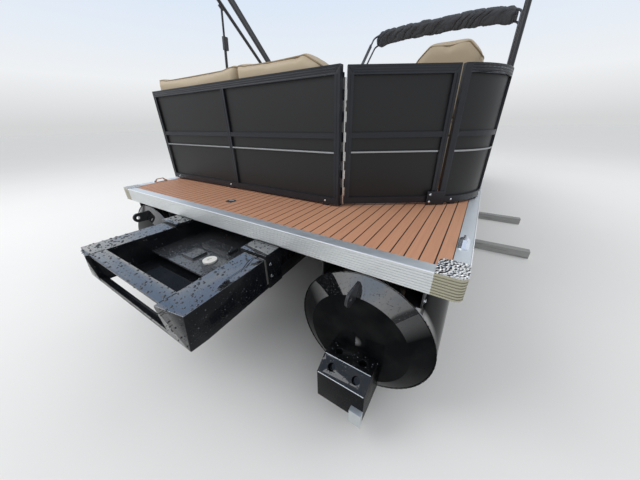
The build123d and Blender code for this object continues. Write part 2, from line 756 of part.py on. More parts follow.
with BuildPart() as motor_pod:
    with BuildSketch(Plane.XY.offset(z_at(POD_FLOOR))):
        with BuildLine():
            Polyline(
                (-POD_HALF_AFT, y_at(-POD_LENGTH)),
                (POD_HALF_AFT, y_at(-POD_LENGTH)),
                (POD_HALF_FRONT, y_at(POD_REACH)),
                (-POD_HALF_FRONT, y_at(POD_REACH)),
                close=True,
            )
        make_face()
        with BuildLine():
            Polyline(
                (-POD_HALF_AFT + POD_ARM_AFT, y_at(-POD_LENGTH)),
                (POD_HALF_AFT - POD_ARM_AFT, y_at(-POD_LENGTH)),
                (POD_HALF_FRONT - POD_ARM_FRONT, y_at(POD_REACH - POD_ARM_FRONT)),
                (-POD_HALF_FRONT + POD_ARM_FRONT, y_at(POD_REACH - POD_ARM_FRONT)),
                close=True,
            )
        make_face(mode=Mode.SUBTRACT)
    extrude(amount=POD_DEPTH)
    with BuildSketch(Plane(origin=(-HALF_WIDTH, 0, 0), x_dir=(0, 1, 0), z_dir=(1, 0, 0))):
        with BuildLine():
            Polyline(
                (y_at(-POD_LENGTH) - POD_LAP, z_at(POD_TOP)),
                (y_at(-POD_LENGTH), z_at(POD_TOP)),
                (y_at(-POD_LENGTH + POD_RAKE), z_at(POD_FLOOR)),
                (y_at(-POD_LENGTH) - POD_LAP, z_at(POD_FLOOR)),
                close=True,
            )
        make_face()
    extrude(amount=DECK_WIDTH, mode=Mode.SUBTRACT)
    for x_sign in (-1, 1):
        for cut in POD_CUTS:
            first, second, third = (
                Vector(x_sign * (POD_HALF_AFT - inward), forward - POD_LENGTH, POD_TOP - depth)
                for inward, forward, depth in cut
            )
            facing = (second - first).cross(third - first) * x_sign
            cut_place = (first.X, y_at(first.Y), z_at(first.Z))
            split(bisect_by=Plane(origin=cut_place, z_dir=facing), keep=Keep.TOP)
    inner_aft = POD_HALF_AFT - POD_ARM_AFT
    with BuildSketch(Plane.XY.offset(z_at(POD_TOP - POD_PLATE))):
        with Locations((0, y_at(-POD_LENGTH + POD_BAR_SETBACK + POD_BAR / 2))):
            Rectangle(2 * (inner_aft + POD_LAP), POD_BAR)
    extrude(amount=POD_PLATE)
    with BuildSketch(Plane.XY.offset(z_at(POD_FLOOR))):
        with Locations((0, y_at(-POD_LENGTH + POD_RAKE + POD_FOOT_BAR / 2))):
            Rectangle(2 * (inner_aft + POD_LAP), POD_FOOT_BAR)
        with Locations((0, y_at((POD_REACH - POD_FLOOR_END + POD_FLOOR_AFT) / 2))):
            Rectangle(
                2 * (POD_HALF_FRONT - POD_ARM_FRONT / 2), POD_REACH - POD_FLOOR_END - POD_FLOOR_AFT
            )
    extrude(amount=POD_PLATE)
    with BuildSketch(Plane.XY.offset(z_at(POD_FLOOR + POD_PLATE))):
        with Locations((0, y_at(-POD_LENGTH + POD_RAKE + POD_FOOT_BAR / 2))):
            Rectangle(2 * (inner_aft + POD_LAP), POD_FOOT_BAR)
    extrude(amount=POD_FOOT_BAR - POD_PLATE)
    with BuildSketch(Plane.XY.offset(z_at(POD_TOP))):
        for x_sign in (-1, 1):
            rail_x = x_sign * (pod_inner(POD_REACH / 2) + POD_RAIL)
            with Locations((rail_x, y_at((POD_REACH + POD_RAIL_START) / 2))):
                Rectangle(POD_RAIL, POD_REACH - POD_RAIL_START - POD_RAIL_END)
    extrude(amount=RISER_TOP - z_at(POD_TOP))
    bracket_start, bracket_end = POD_BRACKET_RUN
    for x_sign in (-1, 1):
        with BuildSketch(Plane.XY.offset(z_at(POD_FLOOR))):
            with BuildLine():
                Polyline(
                    (x_sign * (pod_outer(bracket_start) - POD_LAP), y_at(bracket_start)),
                    (x_sign * (pod_outer(bracket_start) + POD_BRACKET), y_at(bracket_start)),
                    (x_sign * (pod_outer(bracket_end) + POD_BRACKET), y_at(bracket_end)),
                    (x_sign * (pod_outer(bracket_end) - POD_LAP), y_at(bracket_end)),
                    close=True,
                )
            make_face()
        extrude(amount=RISER_TOP - z_at(POD_FLOOR))
        with BuildSketch(Plane.XY.offset(RISER_TOP)):
            with BuildLine():
                Polyline(
                    (x_sign * (pod_outer(bracket_start) - POD_BRACKET_REACH), y_at(bracket_start)),
                    (x_sign * (pod_outer(bracket_start) + POD_BRACKET), y_at(bracket_start)),
                    (x_sign * (pod_outer(bracket_end) + POD_BRACKET), y_at(bracket_end)),
                    (x_sign * (pod_outer(bracket_end) - POD_BRACKET_REACH), y_at(bracket_end)),
                    close=True,
                )
            make_face()
        extrude(amount=z_at(POD_TOP) - RISER_TOP)
save("motor_pod", motor_pod.part)

# Tray across the pod with two raised plates

TRAY_TOP = POD_TOP - POD_TRAY_DROP

with BuildPart() as pod_tray:
    with BuildSketch(Plane.XY.offset(z_at(TRAY_TOP - POD_PLATE))):
        with BuildLine():
            Polyline(
                (-pod_inner(POD_TRAY_AFT), y_at(POD_TRAY_AFT)),
                (pod_inner(POD_TRAY_AFT), y_at(POD_TRAY_AFT)),
                (pod_inner(POD_TRAY_FRONT), y_at(POD_TRAY_FRONT)),
                (-pod_inner(POD_TRAY_FRONT), y_at(POD_TRAY_FRONT)),
                close=True,
            )
        make_face()
    extrude(amount=POD_PLATE)
    for plate_x, plate_along, width, length, height in POD_PLATES:
        with BuildSketch(Plane.XY.offset(z_at(TRAY_TOP))):
            with Locations((plate_x, y_at(plate_along))):
                Rectangle(width, length)
        extrude(amount=height)
save("pod_tray", pod_tray.part)

# Round plug on the tray

with BuildPart() as pod_plug:
    with BuildSketch(Plane.XY.offset(z_at(TRAY_TOP))):
        with Locations((POD_PLUG[0], y_at(POD_PLUG[1]))):
            Circle(POD_PLUG_RADIUS)
    extrude(amount=POD_PLUG_HEIGHT)
    with BuildSketch(Plane.XY.offset(z_at(TRAY_TOP + POD_PLUG_HEIGHT))):
        with Locations((POD_PLUG[0], y_at(POD_PLUG[1]))):
            Circle(POD_PLUG_HOLE)
    extrude(amount=-POD_PLUG_HEIGHT / 2, mode=Mode.SUBTRACT)
save("pod_plug", pod_plug.part)

# Stern boxes: stepped blocks low on each tube cap, with round holes in the top and the slope

box_slope = math.atan2(BOX_STEP_DROP, BOX_AFT - BOX_STEP)

with BuildPart() as stern_boxes:
    for x_sign in (-1, 1):
        box_x = x_sign * TUBE_SPREAD
        side_plane = Plane(origin=(box_x - BOX_WIDTH / 2, 0, 0), x_dir=(0, 1, 0), z_dir=(1, 0, 0))
        with BuildSketch(side_plane):
            with BuildLine():
                Polyline(
                    (y_at(CAP_START), z_at(-BOX_TOP)),
                    (y_at(-BOX_STEP), z_at(-BOX_TOP)),
                    (y_at(-BOX_AFT), z_at(-BOX_TOP - BOX_STEP_DROP)),
                    (y_at(-BOX_AFT), z_at(-BOX_FOOT)),
                    (y_at(CAP_START), z_at(-BOX_FOOT)),
                    close=True,
                )
            make_face()
        extrude(amount=BOX_WIDTH)
        top_plane = Plane(
            origin=(box_x, y_at(-BOX_STEP + BOX_HOLE_SETBACK), z_at(-BOX_TOP)),
            x_dir=(1, 0, 0),
            z_dir=(0, 0, 1),
        )
        slope_plane = Plane(
            origin=(box_x, y_at(-(BOX_STEP + BOX_AFT) / 2), z_at(-BOX_TOP - BOX_STEP_DROP / 2)),
            x_dir=(1, 0, 0),
            z_dir=(0, -math.sin(box_slope), math.cos(box_slope)),
        )
        for hole_plane in (top_plane, slope_plane):
            with BuildSketch(hole_plane):
                with GridLocations(BOX_HOLE_SPREAD, 0, 2, 1):
                    Circle(BOX_HOLE)
            extrude(amount=-BOX_HOLE_DEPTH, mode=Mode.SUBTRACT)
    add(pontoons, mode=Mode.SUBTRACT)
save("stern_boxes", stern_boxes.part)

# Anodes: a pale block low on each box's aft face, at its outer corner

with BuildPart() as stern_anodes:
    with BuildSketch(Plane.XY.offset(z_at(-BOX_FOOT - ANODE_DROP))):
        for x_sign in (-1, 1):
            anode_x = x_sign * (TUBE_SPREAD + (BOX_WIDTH - ANODE[0]) / 2)
            with Locations((anode_x, y_at(-BOX_AFT - ANODE[1] / 2))):
                Rectangle(ANODE[0], ANODE[1])
    extrude(amount=ANODE[2])
save("stern_anodes", stern_anodes.part)

# Fence, counter-clockwise seen from above, so that outwards is always on its right

stern_run = fence_plane((-FENCE_SIDE - FENCE_DEPTH / 2, FENCE_STERN), (1, 0))
stern_frame, stern_skin = straight_panel(
    stern_run, STERN_PANEL_END + FENCE_SIDE + FENCE_DEPTH / 2, 2
)
with BuildPart() as stern_post:
    with BuildSketch(Plane.XY.offset(z_at(0))):
        post_along = FENCE_STERN + (FENCE_DEPTH + STERN_POST_DEPTH) / 2
        with Locations((STERN_PANEL_END - FENCE_STILE / 2, y_at(post_along))):
            Rectangle(FENCE_STILE, STERN_POST_DEPTH)
    extrude(amount=FENCE_HEIGHT - STERN_POST_SHORT)
stern_hinge_plane = fence_plane(STERN_HINGE, (1, 0))
fixed_hinges = hinge_half(stern_hinge_plane, 0, STERN_PANEL_END - STERN_HINGE[0], 0)

BOW_CENTRE = FENCE_BOW - FENCE_RADIUS
CORNER_X = FENCE_SIDE - FENCE_RADIUS
CORNERS = (
    # centre x, centre along, start angle, angle turned
    (CORNER_X, CORNER_ALONG, -CORNER_SWEEP, CORNER_SWEEP),
    (CORNER_X, BOW_CENTRE, 0, 90),
    (-CORNER_X, BOW_CENTRE, 90, 90),
)
corner_frames, corner_skins = [], []
for centre_x, centre_along, start, turned in CORNERS:
    bent_frame, bent_skin = curved_panel((centre_x, centre_along), start, turned)
    corner_frames += bent_frame
    corner_skins += bent_skin

SIDE_GATE_FRONT = SIDE_GATE_AFT + SIDE_GATE_OPENING
BOW_PANEL = CORNER_X - BOW_OPENING / 2
RUNS = (
    # start x, start along, heading, length, bays
    (FENCE_SIDE, CORNER_ALONG, (0, 1), BOW_CENTRE - CORNER_ALONG, 5),
    (CORNER_X, FENCE_BOW, (-1, 0), BOW_PANEL, 1),
    (-BOW_OPENING / 2, FENCE_BOW, (-1, 0), BOW_PANEL, 1),
    (-FENCE_SIDE, BOW_CENTRE, (0, -1), BOW_CENTRE - SIDE_GATE_FRONT, 2),
    (-FENCE_SIDE, SIDE_GATE_AFT, (0, -1), SIDE_GATE_AFT - FENCE_STERN - FENCE_DEPTH / 2, 3),
)
fence_frames, fence_skins = [*stern_frame, *stern_post.part.solids()], [*stern_skin]
for start_x, start_along, heading, length, bays in RUNS:
    run_frame, run_skin = straight_panel(fence_plane((start_x, start_along), heading), length, bays)
    fence_frames += run_frame
    fence_skins += run_skin

save("fence_frames", Compound(children=fence_frames))
save("fence_skins", Compound(children=fence_skins))
save("corner_frames", Compound(children=corner_frames))
save("corner_skins", Compound(children=corner_skins))

# Gates: each hangs on a long hinge at its first post

GATES = (
    # name, post face on the run, heading, length, face that carries the pin
    ("stern", STERN_HINGE, STERN_GATE_ANGLE, STERN_GATE_LENGTH, "outer"),
    (
        "bow",
        (BOW_OPENING / 2 - GATE_GAP, FENCE_BOW),
        180,
        BOW_OPENING - 2 * GATE_GAP - LATCH_GAP,
        "inner",
    ),
    (
        "side",
        (-FENCE_SIDE, SIDE_GATE_FRONT - GATE_GAP),
        270,
        SIDE_GATE_OPENING - 2 * GATE_GAP - LATCH_GAP,
        "inner",
    ),
)

for name, pin_spot, heading, length, pin_face in GATES:
    direction = (math.cos(math.radians(heading)), math.sin(math.radians(heading)))
    run = fence_plane(pin_spot, direction)
    if pin_face == "outer":
        middle = run.offset(-FENCE_DEPTH / 2)
        pin = FENCE_DEPTH / 2
    else:
        middle = run
        pin = -FENCE_DEPTH / 2
        fixed_hinges += hinge_half(run, pin, -GATE_GAP, 0)
    gate_plane = Plane(
        origin=middle.from_local_coords(Vector(GATE_GAP, 0, 0)),
        x_dir=middle.x_dir,
        z_dir=middle.z_dir,
    )
    gate_frame, gate_skin = straight_panel(gate_plane, length, 1, feet=False)
    with BuildPart() as latched:
        add(gate_frame)
        with BuildSketch(gate_plane.offset(-FENCE_DEPTH / 2)):
            with Locations((length - LATCH[0] / 2, LATCH_ABOVE)):
                Rectangle(LATCH[0], LATCH[1])
        extrude(amount=-LATCH[2])
    moving_hinge = hinge_half(middle, pin, GATE_GAP, 1)
    save(f"{name}_gate_frame", latched.part)
    save(f"{name}_gate_skin", Compound(children=gate_skin))
    save(f"{name}_gate_hinge", Compound(children=moving_hinge))
save("gate_hinge_leaves", Compound(children=fixed_hinges))


def block(x_span, along_span, low, high, radius):
    """Upright block with rounded corners in plan, between the given limits."""
    with BuildPart() as shape:
        with BuildSketch(Plane.XY.offset(z_at(low))):
            with Locations((sum(x_span) / 2, y_at(sum(along_span) / 2))):
                RectangleRounded(x_span[1] - x_span[0], along_span[1] - along_span[0], radius)
        extrude(amount=high - low)
    return shape.part


# Lounges: bases on an inset plinth, then seats and backs

INNER_SIDE = FENCE_SIDE - FENCE_DEPTH / 2 - LOUNGE_GAP
INNER_STERN = FENCE_STERN + FENCE_DEPTH / 2 + LOUNGE_GAP
SEAT_TOP = SEAT_HEIGHT + CUSHION
AISLE = INNER_SIDE - LOUNGE_DEPTH
BOW_LOUNGE_END = FENCE_BOW - BOW_LOUNGE_GAP
BOW_LOUNGE_START = BOW_LOUNGE_END - BOW_LOUNGE_LENGTH
STERN_LOUNGE_FRONT = INNER_STERN + LOUNGE_DEPTH
CHAISE_END = CHAISE_START + CHAISE_LENGTH
BASES = (
    # x limits, along limits
    ((-INNER_SIDE, STERN_LOUNGE_END), (INNER_STERN, STERN_LOUNGE_FRONT)),
    ((-INNER_SIDE, -AISLE), (STERN_LOUNGE_FRONT + SOFT_GAP, PORT_LOUNGE_FRONT)),
    ((AISLE, INNER_SIDE), (CHAISE_START, CHAISE_END)),
    ((-INNER_SIDE, -AISLE), (BOW_LOUNGE_START, BOW_LOUNGE_END)),
    ((AISLE, INNER_SIDE), (BOW_LOUNGE_START, BOW_LOUNGE_END)),
)
base_solids = []
for x_span, along_span in BASES:
    with BuildPart() as base:
        add(block(x_span, along_span, PLINTH_HEIGHT, SEAT_HEIGHT, BASE_RADIUS))
        plinth_x = (x_span[0] + PLINTH_INSET, x_span[1] - PLINTH_INSET)
        plinth_along = (along_span[0] + PLINTH_INSET, along_span[1] - PLINTH_INSET)
        add(block(plinth_x, plinth_along, 0, PLINTH_HEIGHT, BASE_RADIUS))
    base_solids += base.part.solids()
save("lounge_bases", Compound(children=base_solids))


def shaped_back(outline, along_span):
    """Upright cushion cut to an outline seen from the stern, given as x and height pairs."""
    plane = Plane(origin=(0, y_at(along_span[0]), 0), x_dir=(1, 0, 0), z_dir=(0, -1, 0))
    with BuildPart() as back:
        with BuildSketch(plane):
            with BuildLine():
                Polyline(*[(x, z_at(above)) for x, above in outline], close=True)
            make_face()
        extrude(amount=along_span[0] - along_span[1])
    return back.part


BACK_LOW = SEAT_TOP + SOFT_GAP
STERN_BACK = (INNER_STERN, INNER_STERN + BACK_DEPTH)
stern_cushions = [
    block((-INNER_SIDE, STERN_BACK_SEAM), STERN_BACK, BACK_LOW, STERN_BACK_TOP, SOFT_RADIUS),
    shaped_back(
        (
            (STERN_BACK_SEAM + SOFT_GAP, BACK_LOW),
            (STERN_LOUNGE_END, BACK_LOW),
            (STERN_LOUNGE_END, STERN_BACK_LOW),
            (STERN_BACK_PEAK, STERN_BACK_TOP),
            (STERN_BACK_SEAM + SOFT_GAP, STERN_BACK_TOP),
        ),
        STERN_BACK,
    ),
    block(
        (-INNER_SIDE, STERN_LOUNGE_END),
        (INNER_STERN, STERN_LOUNGE_FRONT),
        SEAT_HEIGHT + SOFT_GAP,
        SEAT_TOP,
        SOFT_RADIUS,
    ),
]
port_cushions = [
    block(
        (-INNER_SIDE, BACK_DEPTH - INNER_SIDE),
        (STERN_BACK[1] + SOFT_GAP, PORT_LOUNGE_FRONT),
        BACK_LOW,
        BACK_TOP,
        SOFT_RADIUS,
    ),
    block(
        (-INNER_SIDE, -AISLE),
        (STERN_LOUNGE_FRONT + SOFT_GAP, PORT_LOUNGE_FRONT),
        SEAT_HEIGHT + SOFT_GAP,
        SEAT_TOP,
        SOFT_RADIUS,
    ),
]
CHAISE_LEFT = AISLE + CHAISE_INSET
CHAISE_RIGHT = INNER_SIDE - BACK_DEPTH - SOFT_GAP
starboard_cushions = [
    shaped_back(
        (
            (CHAISE_LEFT, BACK_LOW),
            (CHAISE_RIGHT, BACK_LOW),
            (CHAISE_RIGHT, CHAISE_TOP - CHAISE_SHOULDER),
            (CHAISE_RIGHT - CHAISE_SHOULDER, CHAISE_TOP),
            (CHAISE_LEFT + CHAISE_SHOULDER, CHAISE_TOP),
            (CHAISE_LEFT, CHAISE_TOP - CHAISE_SHOULDER),
        ),
        (CHAISE_START, CHAISE_START + CHAISE_BACK),
    ),
    block(
        (INNER_SIDE - BACK_DEPTH, INNER_SIDE),
        (CHAISE_START, CHAISE_END),
        BACK_LOW,
        BACK_TOP,
        SOFT_RADIUS,
    ),
    block(
        (AISLE, INNER_SIDE),
        (CHAISE_START, CHAISE_END),
        SEAT_HEIGHT + SOFT_GAP,
        SEAT_TOP,
        SOFT_RADIUS,
    ),
]
bow_cushions = []
for hand in (-1, 1):
    outer_x = sorted((hand * (INNER_SIDE - BACK_DEPTH), hand * INNER_SIDE))
    seat_x = sorted((hand * AISLE, hand * INNER_SIDE))
    bow_front = BOW_LOUNGE_END - BACK_DEPTH
    bow_cushions += [
        block(
            outer_x,
            (BOW_LOUNGE_START + BOW_BACK + SOFT_GAP, bow_front),
            BACK_LOW,
            BACK_TOP,
            SOFT_RADIUS,
        ),
        block(seat_x, (BOW_LOUNGE_START, bow_front), SEAT_HEIGHT + SOFT_GAP, SEAT_TOP, SOFT_RADIUS),
        block(seat_x, (BOW_LOUNGE_START, BOW_LOUNGE_START + BOW_BACK), BACK_LOW, BACK_TOP, SOFT_RADIUS),
    ]
for place, cushions in (
    ("stern", stern_cushions),
    ("port", port_cushions),
    ("starboard", starboard_cushions),
    ("bow", bow_cushions),
):
    save(
        f"{place}_lounge_cushions",
        Compound(children=[solid for cushion in cushions for solid in cushion.solids()]),
    )

# Helm console with a sloping dash, its screen, wheel and lever

CONSOLE_FRONT = CONSOLE_ALONG + CONSOLE_DEPTH
CONSOLE_PROFILE = (
    # along, above
    (CONSOLE_ALONG, 0),
    (CONSOLE_ALONG, DASH_LOW),
    (CONSOLE_ALONG + DASH_RUN, DASH_HIGH),
    (CONSOLE_ALONG + HOOD_RUN, CONSOLE_HEIGHT),
    (CONSOLE_FRONT - NOSE_RUN, CONSOLE_HEIGHT),
    (CONSOLE_FRONT, CONSOLE_HEIGHT - NOSE_DROP),
    (CONSOLE_FRONT, 0),
)
console_side = Plane(origin=(HELM_X - CONSOLE_WIDTH / 2, 0, 0), x_dir=(0, 1, 0), z_dir=(1, 0, 0))
with BuildPart() as helm_console:
    with BuildSketch(console_side):
        with BuildLine():
            Polyline(*[(y_at(along), z_at(above)) for along, above in CONSOLE_PROFILE], close=True)
        make_face()
    extrude(amount=CONSOLE_WIDTH)
    fillet(helm_console.edges().filter_by(Axis.Z), BASE_RADIUS)
save("helm_console", helm_console.part)

with BuildPart() as windscreen:
    screen = Plane(
        origin=(HELM_X, y_at(CONSOLE_FRONT - 2 * NOSE_RUN), z_at(CONSOLE_HEIGHT)),
        x_dir=(1, 0, 0),
        z_dir=(0, -1, 0),
    )
    with BuildSketch(screen):
        with Locations((0, SCREEN_HEIGHT / 2)):
            RectangleRounded(CONSOLE_WIDTH - 4 * BASE_RADIUS, SCREEN_HEIGHT, BASE_RADIUS)
    extrude(amount=SCREEN_THICKNESS)
save("windscreen", windscreen.part)

slope = math.atan2(DASH_HIGH - DASH_LOW, DASH_RUN)
wheel_axis = Vector(0, -math.sin(slope), math.cos(slope))
hub_base = Vector(HELM_X, y_at(CONSOLE_ALONG + DASH_RUN / 2), z_at((DASH_LOW + DASH_HIGH) / 2))
HUB_START = HUB_HEIGHT + 6

with BuildPart() as steering_wheel:
    rim_plane = Plane(origin=hub_base + wheel_axis * WHEEL_STAND, x_dir=(1, 0, 0), z_dir=wheel_axis)
    with BuildSketch(rim_plane.offset(HUB_START - WHEEL_STAND)):
        Circle(WHEEL_HUB)
    extrude(amount=HUB_START)
    with BuildSketch(rim_plane.offset(-WHEEL_TUBE / 2)):
        for turn in (90, 210, 330):
            with Locations(Location((0, 0, 0), (0, 0, turn))):
                with Locations((WHEEL_RADIUS / 2, 0)):
                    Rectangle(WHEEL_RADIUS, WHEEL_SPOKE)
    extrude(amount=WHEEL_TUBE * 0.6)
    with BuildSketch(Plane(origin=rim_plane.origin, x_dir=rim_plane.x_dir, z_dir=rim_plane.y_dir)):
        with Locations((WHEEL_RADIUS, 0)):
            RegularPolygon(WHEEL_TUBE, 8)
    revolve(axis=Axis(rim_plane.origin, wheel_axis))
save("steering_wheel", steering_wheel.part)

LEVER_X = 235
LEVER_BASE = (70, 120, 45)
LEVER_ARM = (16, 26, 115)

with BuildPart() as helm_controls:
    with BuildSketch(Plane(origin=hub_base, x_dir=(1, 0, 0), z_dir=wheel_axis)):
        Circle(HUB_RADIUS)
    extrude(amount=HUB_HEIGHT)
    with BuildSketch(Plane(origin=hub_base, x_dir=(1, 0, 0), z_dir=wheel_axis)):
        Circle(SHAFT_RADIUS)
    extrude(amount=HUB_START - REST_GAP)
    lever_base = hub_base + Vector(LEVER_X, 0, 0)
    with BuildSketch(Plane(origin=lever_base, x_dir=(1, 0, 0), z_dir=wheel_axis)):
        RectangleRounded(LEVER_BASE[0], LEVER_BASE[1], 12)
    extrude(amount=LEVER_BASE[2])
    lever_foot = lever_base + wheel_axis * (LEVER_BASE[2] - 5)
    with BuildSketch(Plane(origin=lever_foot, x_dir=(1, 0, 0), z_dir=wheel_axis)):
        Rectangle(LEVER_ARM[0], LEVER_ARM[1])
    extrude(amount=LEVER_ARM[2])
save("helm_controls", helm_controls.part)

# Helm seat on its pedestal

with BuildPart() as seat_pedestal:
    with BuildSketch(Plane.XY.offset(z_at(0))):
        with Locations((HELM_X, y_at(SEAT_ALONG))):
            Circle(PEDESTAL_FOOT)
    extrude(amount=FENCE_FOOT)
    with BuildSketch(Plane.XY.offset(z_at(0))):
        with Locations((HELM_X, y_at(SEAT_ALONG))):
            Circle(PEDESTAL_RADIUS)
    extrude(amount=PEDESTAL)
save("seat_pedestal", seat_pedestal.part)

SHELL_TOP = PEDESTAL + REST_GAP + SHELL_THICKNESS
SHELL_AFT = SEAT_ALONG - SHELL_LENGTH / 2
BACK_SHELL = 30

with BuildPart() as seat_shell:
    with BuildSketch(Plane.XY.offset(z_at(PEDESTAL + REST_GAP))):
        with Locations((HELM_X, y_at(SEAT_ALONG))):
            RectangleRounded(SHELL_WIDTH, SHELL_LENGTH, SOFT_RADIUS)
        with Locations((HELM_X, y_at(SHELL_AFT))):
            RectangleRounded(SHELL_WIDTH, BACK_SHELL, BACK_SHELL / 3)
    extrude(amount=SHELL_THICKNESS)
    with BuildSketch(Plane.XY.offset(z_at(SHELL_TOP))):
        with Locations((HELM_X, y_at(SHELL_AFT))):
            RectangleRounded(SHELL_WIDTH, BACK_SHELL, BACK_SHELL / 3)
    extrude(amount=SHELL_BACK - SHELL_THICKNESS)
save("seat_shell", seat_shell.part)

pad_x = (HELM_X - PAD_WIDTH / 2, HELM_X + PAD_WIDTH / 2)
PAD_AFT = SHELL_AFT + BACK_SHELL / 2 + SOFT_GAP
PAD_HIGH = PEDESTAL + PAD_TOP
PAD_BACK = PAD_AFT + BACK_DEPTH - BACK_SHELL
PAD_LOW = SHELL_TOP + REST_GAP
REST_LOW = PAD_HIGH + REST_GAP
REST_HIGH = PEDESTAL + BACKREST_TOP
seat_pad = block(pad_x, (PAD_AFT, SEAT_ALONG + PAD_WIDTH / 2), PAD_LOW, PAD_HIGH, SOFT_RADIUS)
seat_back = block(pad_x, (PAD_AFT, PAD_BACK), REST_LOW, REST_HIGH, SOFT_RADIUS)
save("seat_cushions", Compound(children=[*seat_pad.solids(), *seat_back.solids()]))

# Sun tops: two bows each, pinned to forks on the side fences and wrapped in a boot

HOOP = (
    # x and distance from the foot of a bow's bends, from port to starboard
    (-BIMINI_X, BIMINI_LENGTH - BIMINI_CROWN),
    (-BIMINI_SHOULDER[0], BIMINI_LENGTH - BIMINI_SHOULDER[1]),
    (-BIMINI_FLAT, BIMINI_LENGTH),
    (BIMINI_FLAT, BIMINI_LENGTH),
    (BIMINI_SHOULDER[0], BIMINI_LENGTH - BIMINI_SHOULDER[1]),
    (BIMINI_X, BIMINI_LENGTH - BIMINI_CROWN),
)
EYE = 16
PIN = 5


def lean_vector(angle, way):
    """Direction of an arm that leans along the boat, from its angle over the deck."""
    return Vector(0, way * math.cos(math.radians(angle)), math.sin(math.radians(angle)))


def hoop(origin, rise, start, shorten, radius):
    """Round tube bent as a bow, in the plane of X and rise, its legs cut short at start."""
    plane = Plane(origin=origin, x_dir=(1, 0, 0), z_dir=Vector(1, 0, 0).cross(rise))
    bends = [(x, place - shorten) for x, place in HOOP]
    with BuildPart() as tube:
        with BuildLine(plane) as path:
            FilletPolyline(
                (bends[0][0], start), *bends, (bends[-1][0], start), radius=BIMINI_CORNER
            )
        with BuildSketch(Plane(origin=path.line @ 0, x_dir=(1, 0, 0), z_dir=path.line % 0)):
            Circle(radius)
        sweep()
    return tube.part


for name, pivot_along, lean, way, strut_along in BIMINIS:
    pivot = Vector(0, y_at(pivot_along), z_at(FENCE_HEIGHT + BIMINI_PIVOT))
    main = lean_vector(lean, way)
    second = lean_vector(lean - BIMINI_FAN, way)
    under = lean_vector(lean - 90, way)
    second_foot = pivot + main * FORK_PLACE + under * BIMINI_OFFSET
    arm_start = FORK_PLACE / 6
    arm_end = BIMINI_LENGTH - BIMINI_CROWN - BIMINI_CORNER - BOOT_MARGIN
    second_short = FORK_PLACE + BIMINI_OFFSET / 4
    with BuildPart() as bows:
        for x in (-BIMINI_X, BIMINI_X):
            foot = Vector(x, pivot.Y, pivot.Z)
            with BuildSketch(Plane(origin=foot - Vector(PIN + 1, 0, 0), z_dir=(1, 0, 0))):
                Circle(EYE)
            extrude(amount=2 * (PIN + 1))
            with BuildSketch(Plane(origin=foot, x_dir=(1, 0, 0), z_dir=main)):
                Rectangle(2 * (PIN + 1), 2 * EYE - 2)
            extrude(amount=arm_start + PIN)
            with BuildSketch(Plane(origin=foot + main * arm_start, x_dir=(1, 0, 0), z_dir=main)):
                RectangleRounded(BIMINI_ARM[1], BIMINI_ARM[0], 6)
                for face in (-1, 1):
                    with Locations((face * BIMINI_ARM[1] / 2, 0)):
                        Rectangle(BIMINI_ARM_GROOVE, BIMINI_ARM[0] / 3, mode=Mode.SUBTRACT)
            extrude(amount=arm_end - arm_start)
            with BuildSketch(Plane(origin=foot - Vector(2 * EYE, 0, 0), z_dir=(1, 0, 0))):
                Circle(PIN + REST_GAP)
            extrude(amount=4 * EYE, mode=Mode.SUBTRACT)
            collar = foot + main * (FORK_PLACE - BIMINI_BOW)
            with BuildSketch(Plane(origin=collar, x_dir=(1, 0, 0), z_dir=main)):
                Rectangle(BIMINI_ARM[1] + 4, BIMINI_ARM[0] + 4)
                with Locations((0, way * BIMINI_OFFSET / 2)):
                    Rectangle(BIMINI_ARM[1] / 2, BIMINI_OFFSET)
            extrude(amount=2 * BIMINI_BOW)
        add(hoop(pivot, main, arm_end - EYE, 0, BIMINI_BOW / 2))
        add(hoop(second_foot, second, -EYE, second_short, BIMINI_BOW / 2))
    save(f"{name}_bimini_bows", bows.part)
    main_bar = pivot + main * BIMINI_LENGTH
    second_bar = second_foot + second * (BIMINI_LENGTH - second_short)
    spread = second_bar - main_bar
    middle = (main_bar + second_bar) * 0.5
    boot_end = BIMINI_X - BOOT_END
    end_share = (boot_end - BIMINI_SHOULDER[0]) / (BIMINI_X - BIMINI_SHOULDER[0])
    end_drop = BIMINI_SHOULDER[1] + (BIMINI_CROWN - BIMINI_SHOULDER[1]) * end_share
    boot_plane = Plane(origin=middle, x_dir=(1, 0, 0), z_dir=Vector(1, 0, 0).cross(main))
    with BuildPart() as boot:
        with BuildLine(boot_plane) as spine:
            FilletPolyline(
                (-boot_end, -end_drop),
                (-BIMINI_SHOULDER[0], -BIMINI_SHOULDER[1]),
                (-BIMINI_FLAT, 0),
                (BIMINI_FLAT, 0),
                (BIMINI_SHOULDER[0], -BIMINI_SHOULDER[1]),
                (boot_end, -end_drop),
                radius=2 * BIMINI_CORNER,
            )
        section = Plane(origin=spine.line @ 0, x_dir=spread.normalized(), z_dir=(1, 0, 0))
        with BuildSketch(section):
            RectangleRounded(spread.length + BOOT_MARGIN, BOOT_THICKNESS, BOOT_THICKNESS / 3)
        sweep()
        add(hoop(pivot, main, arm_end - EYE, 0, BIMINI_BOW / 2 + REST_GAP), mode=Mode.SUBTRACT)
        add(
            hoop(second_foot, second, -EYE, second_short, BIMINI_BOW / 2 + REST_GAP),
            mode=Mode.SUBTRACT,
        )
    save(f"{name}_bimini_boot", boot.part)

# Forks that hold the pins, and the struts the folded tops rest on

FORK_EAR = 4
FORK_GAP = 8
FORK_LENGTH = 70
FORK_BASE = 5

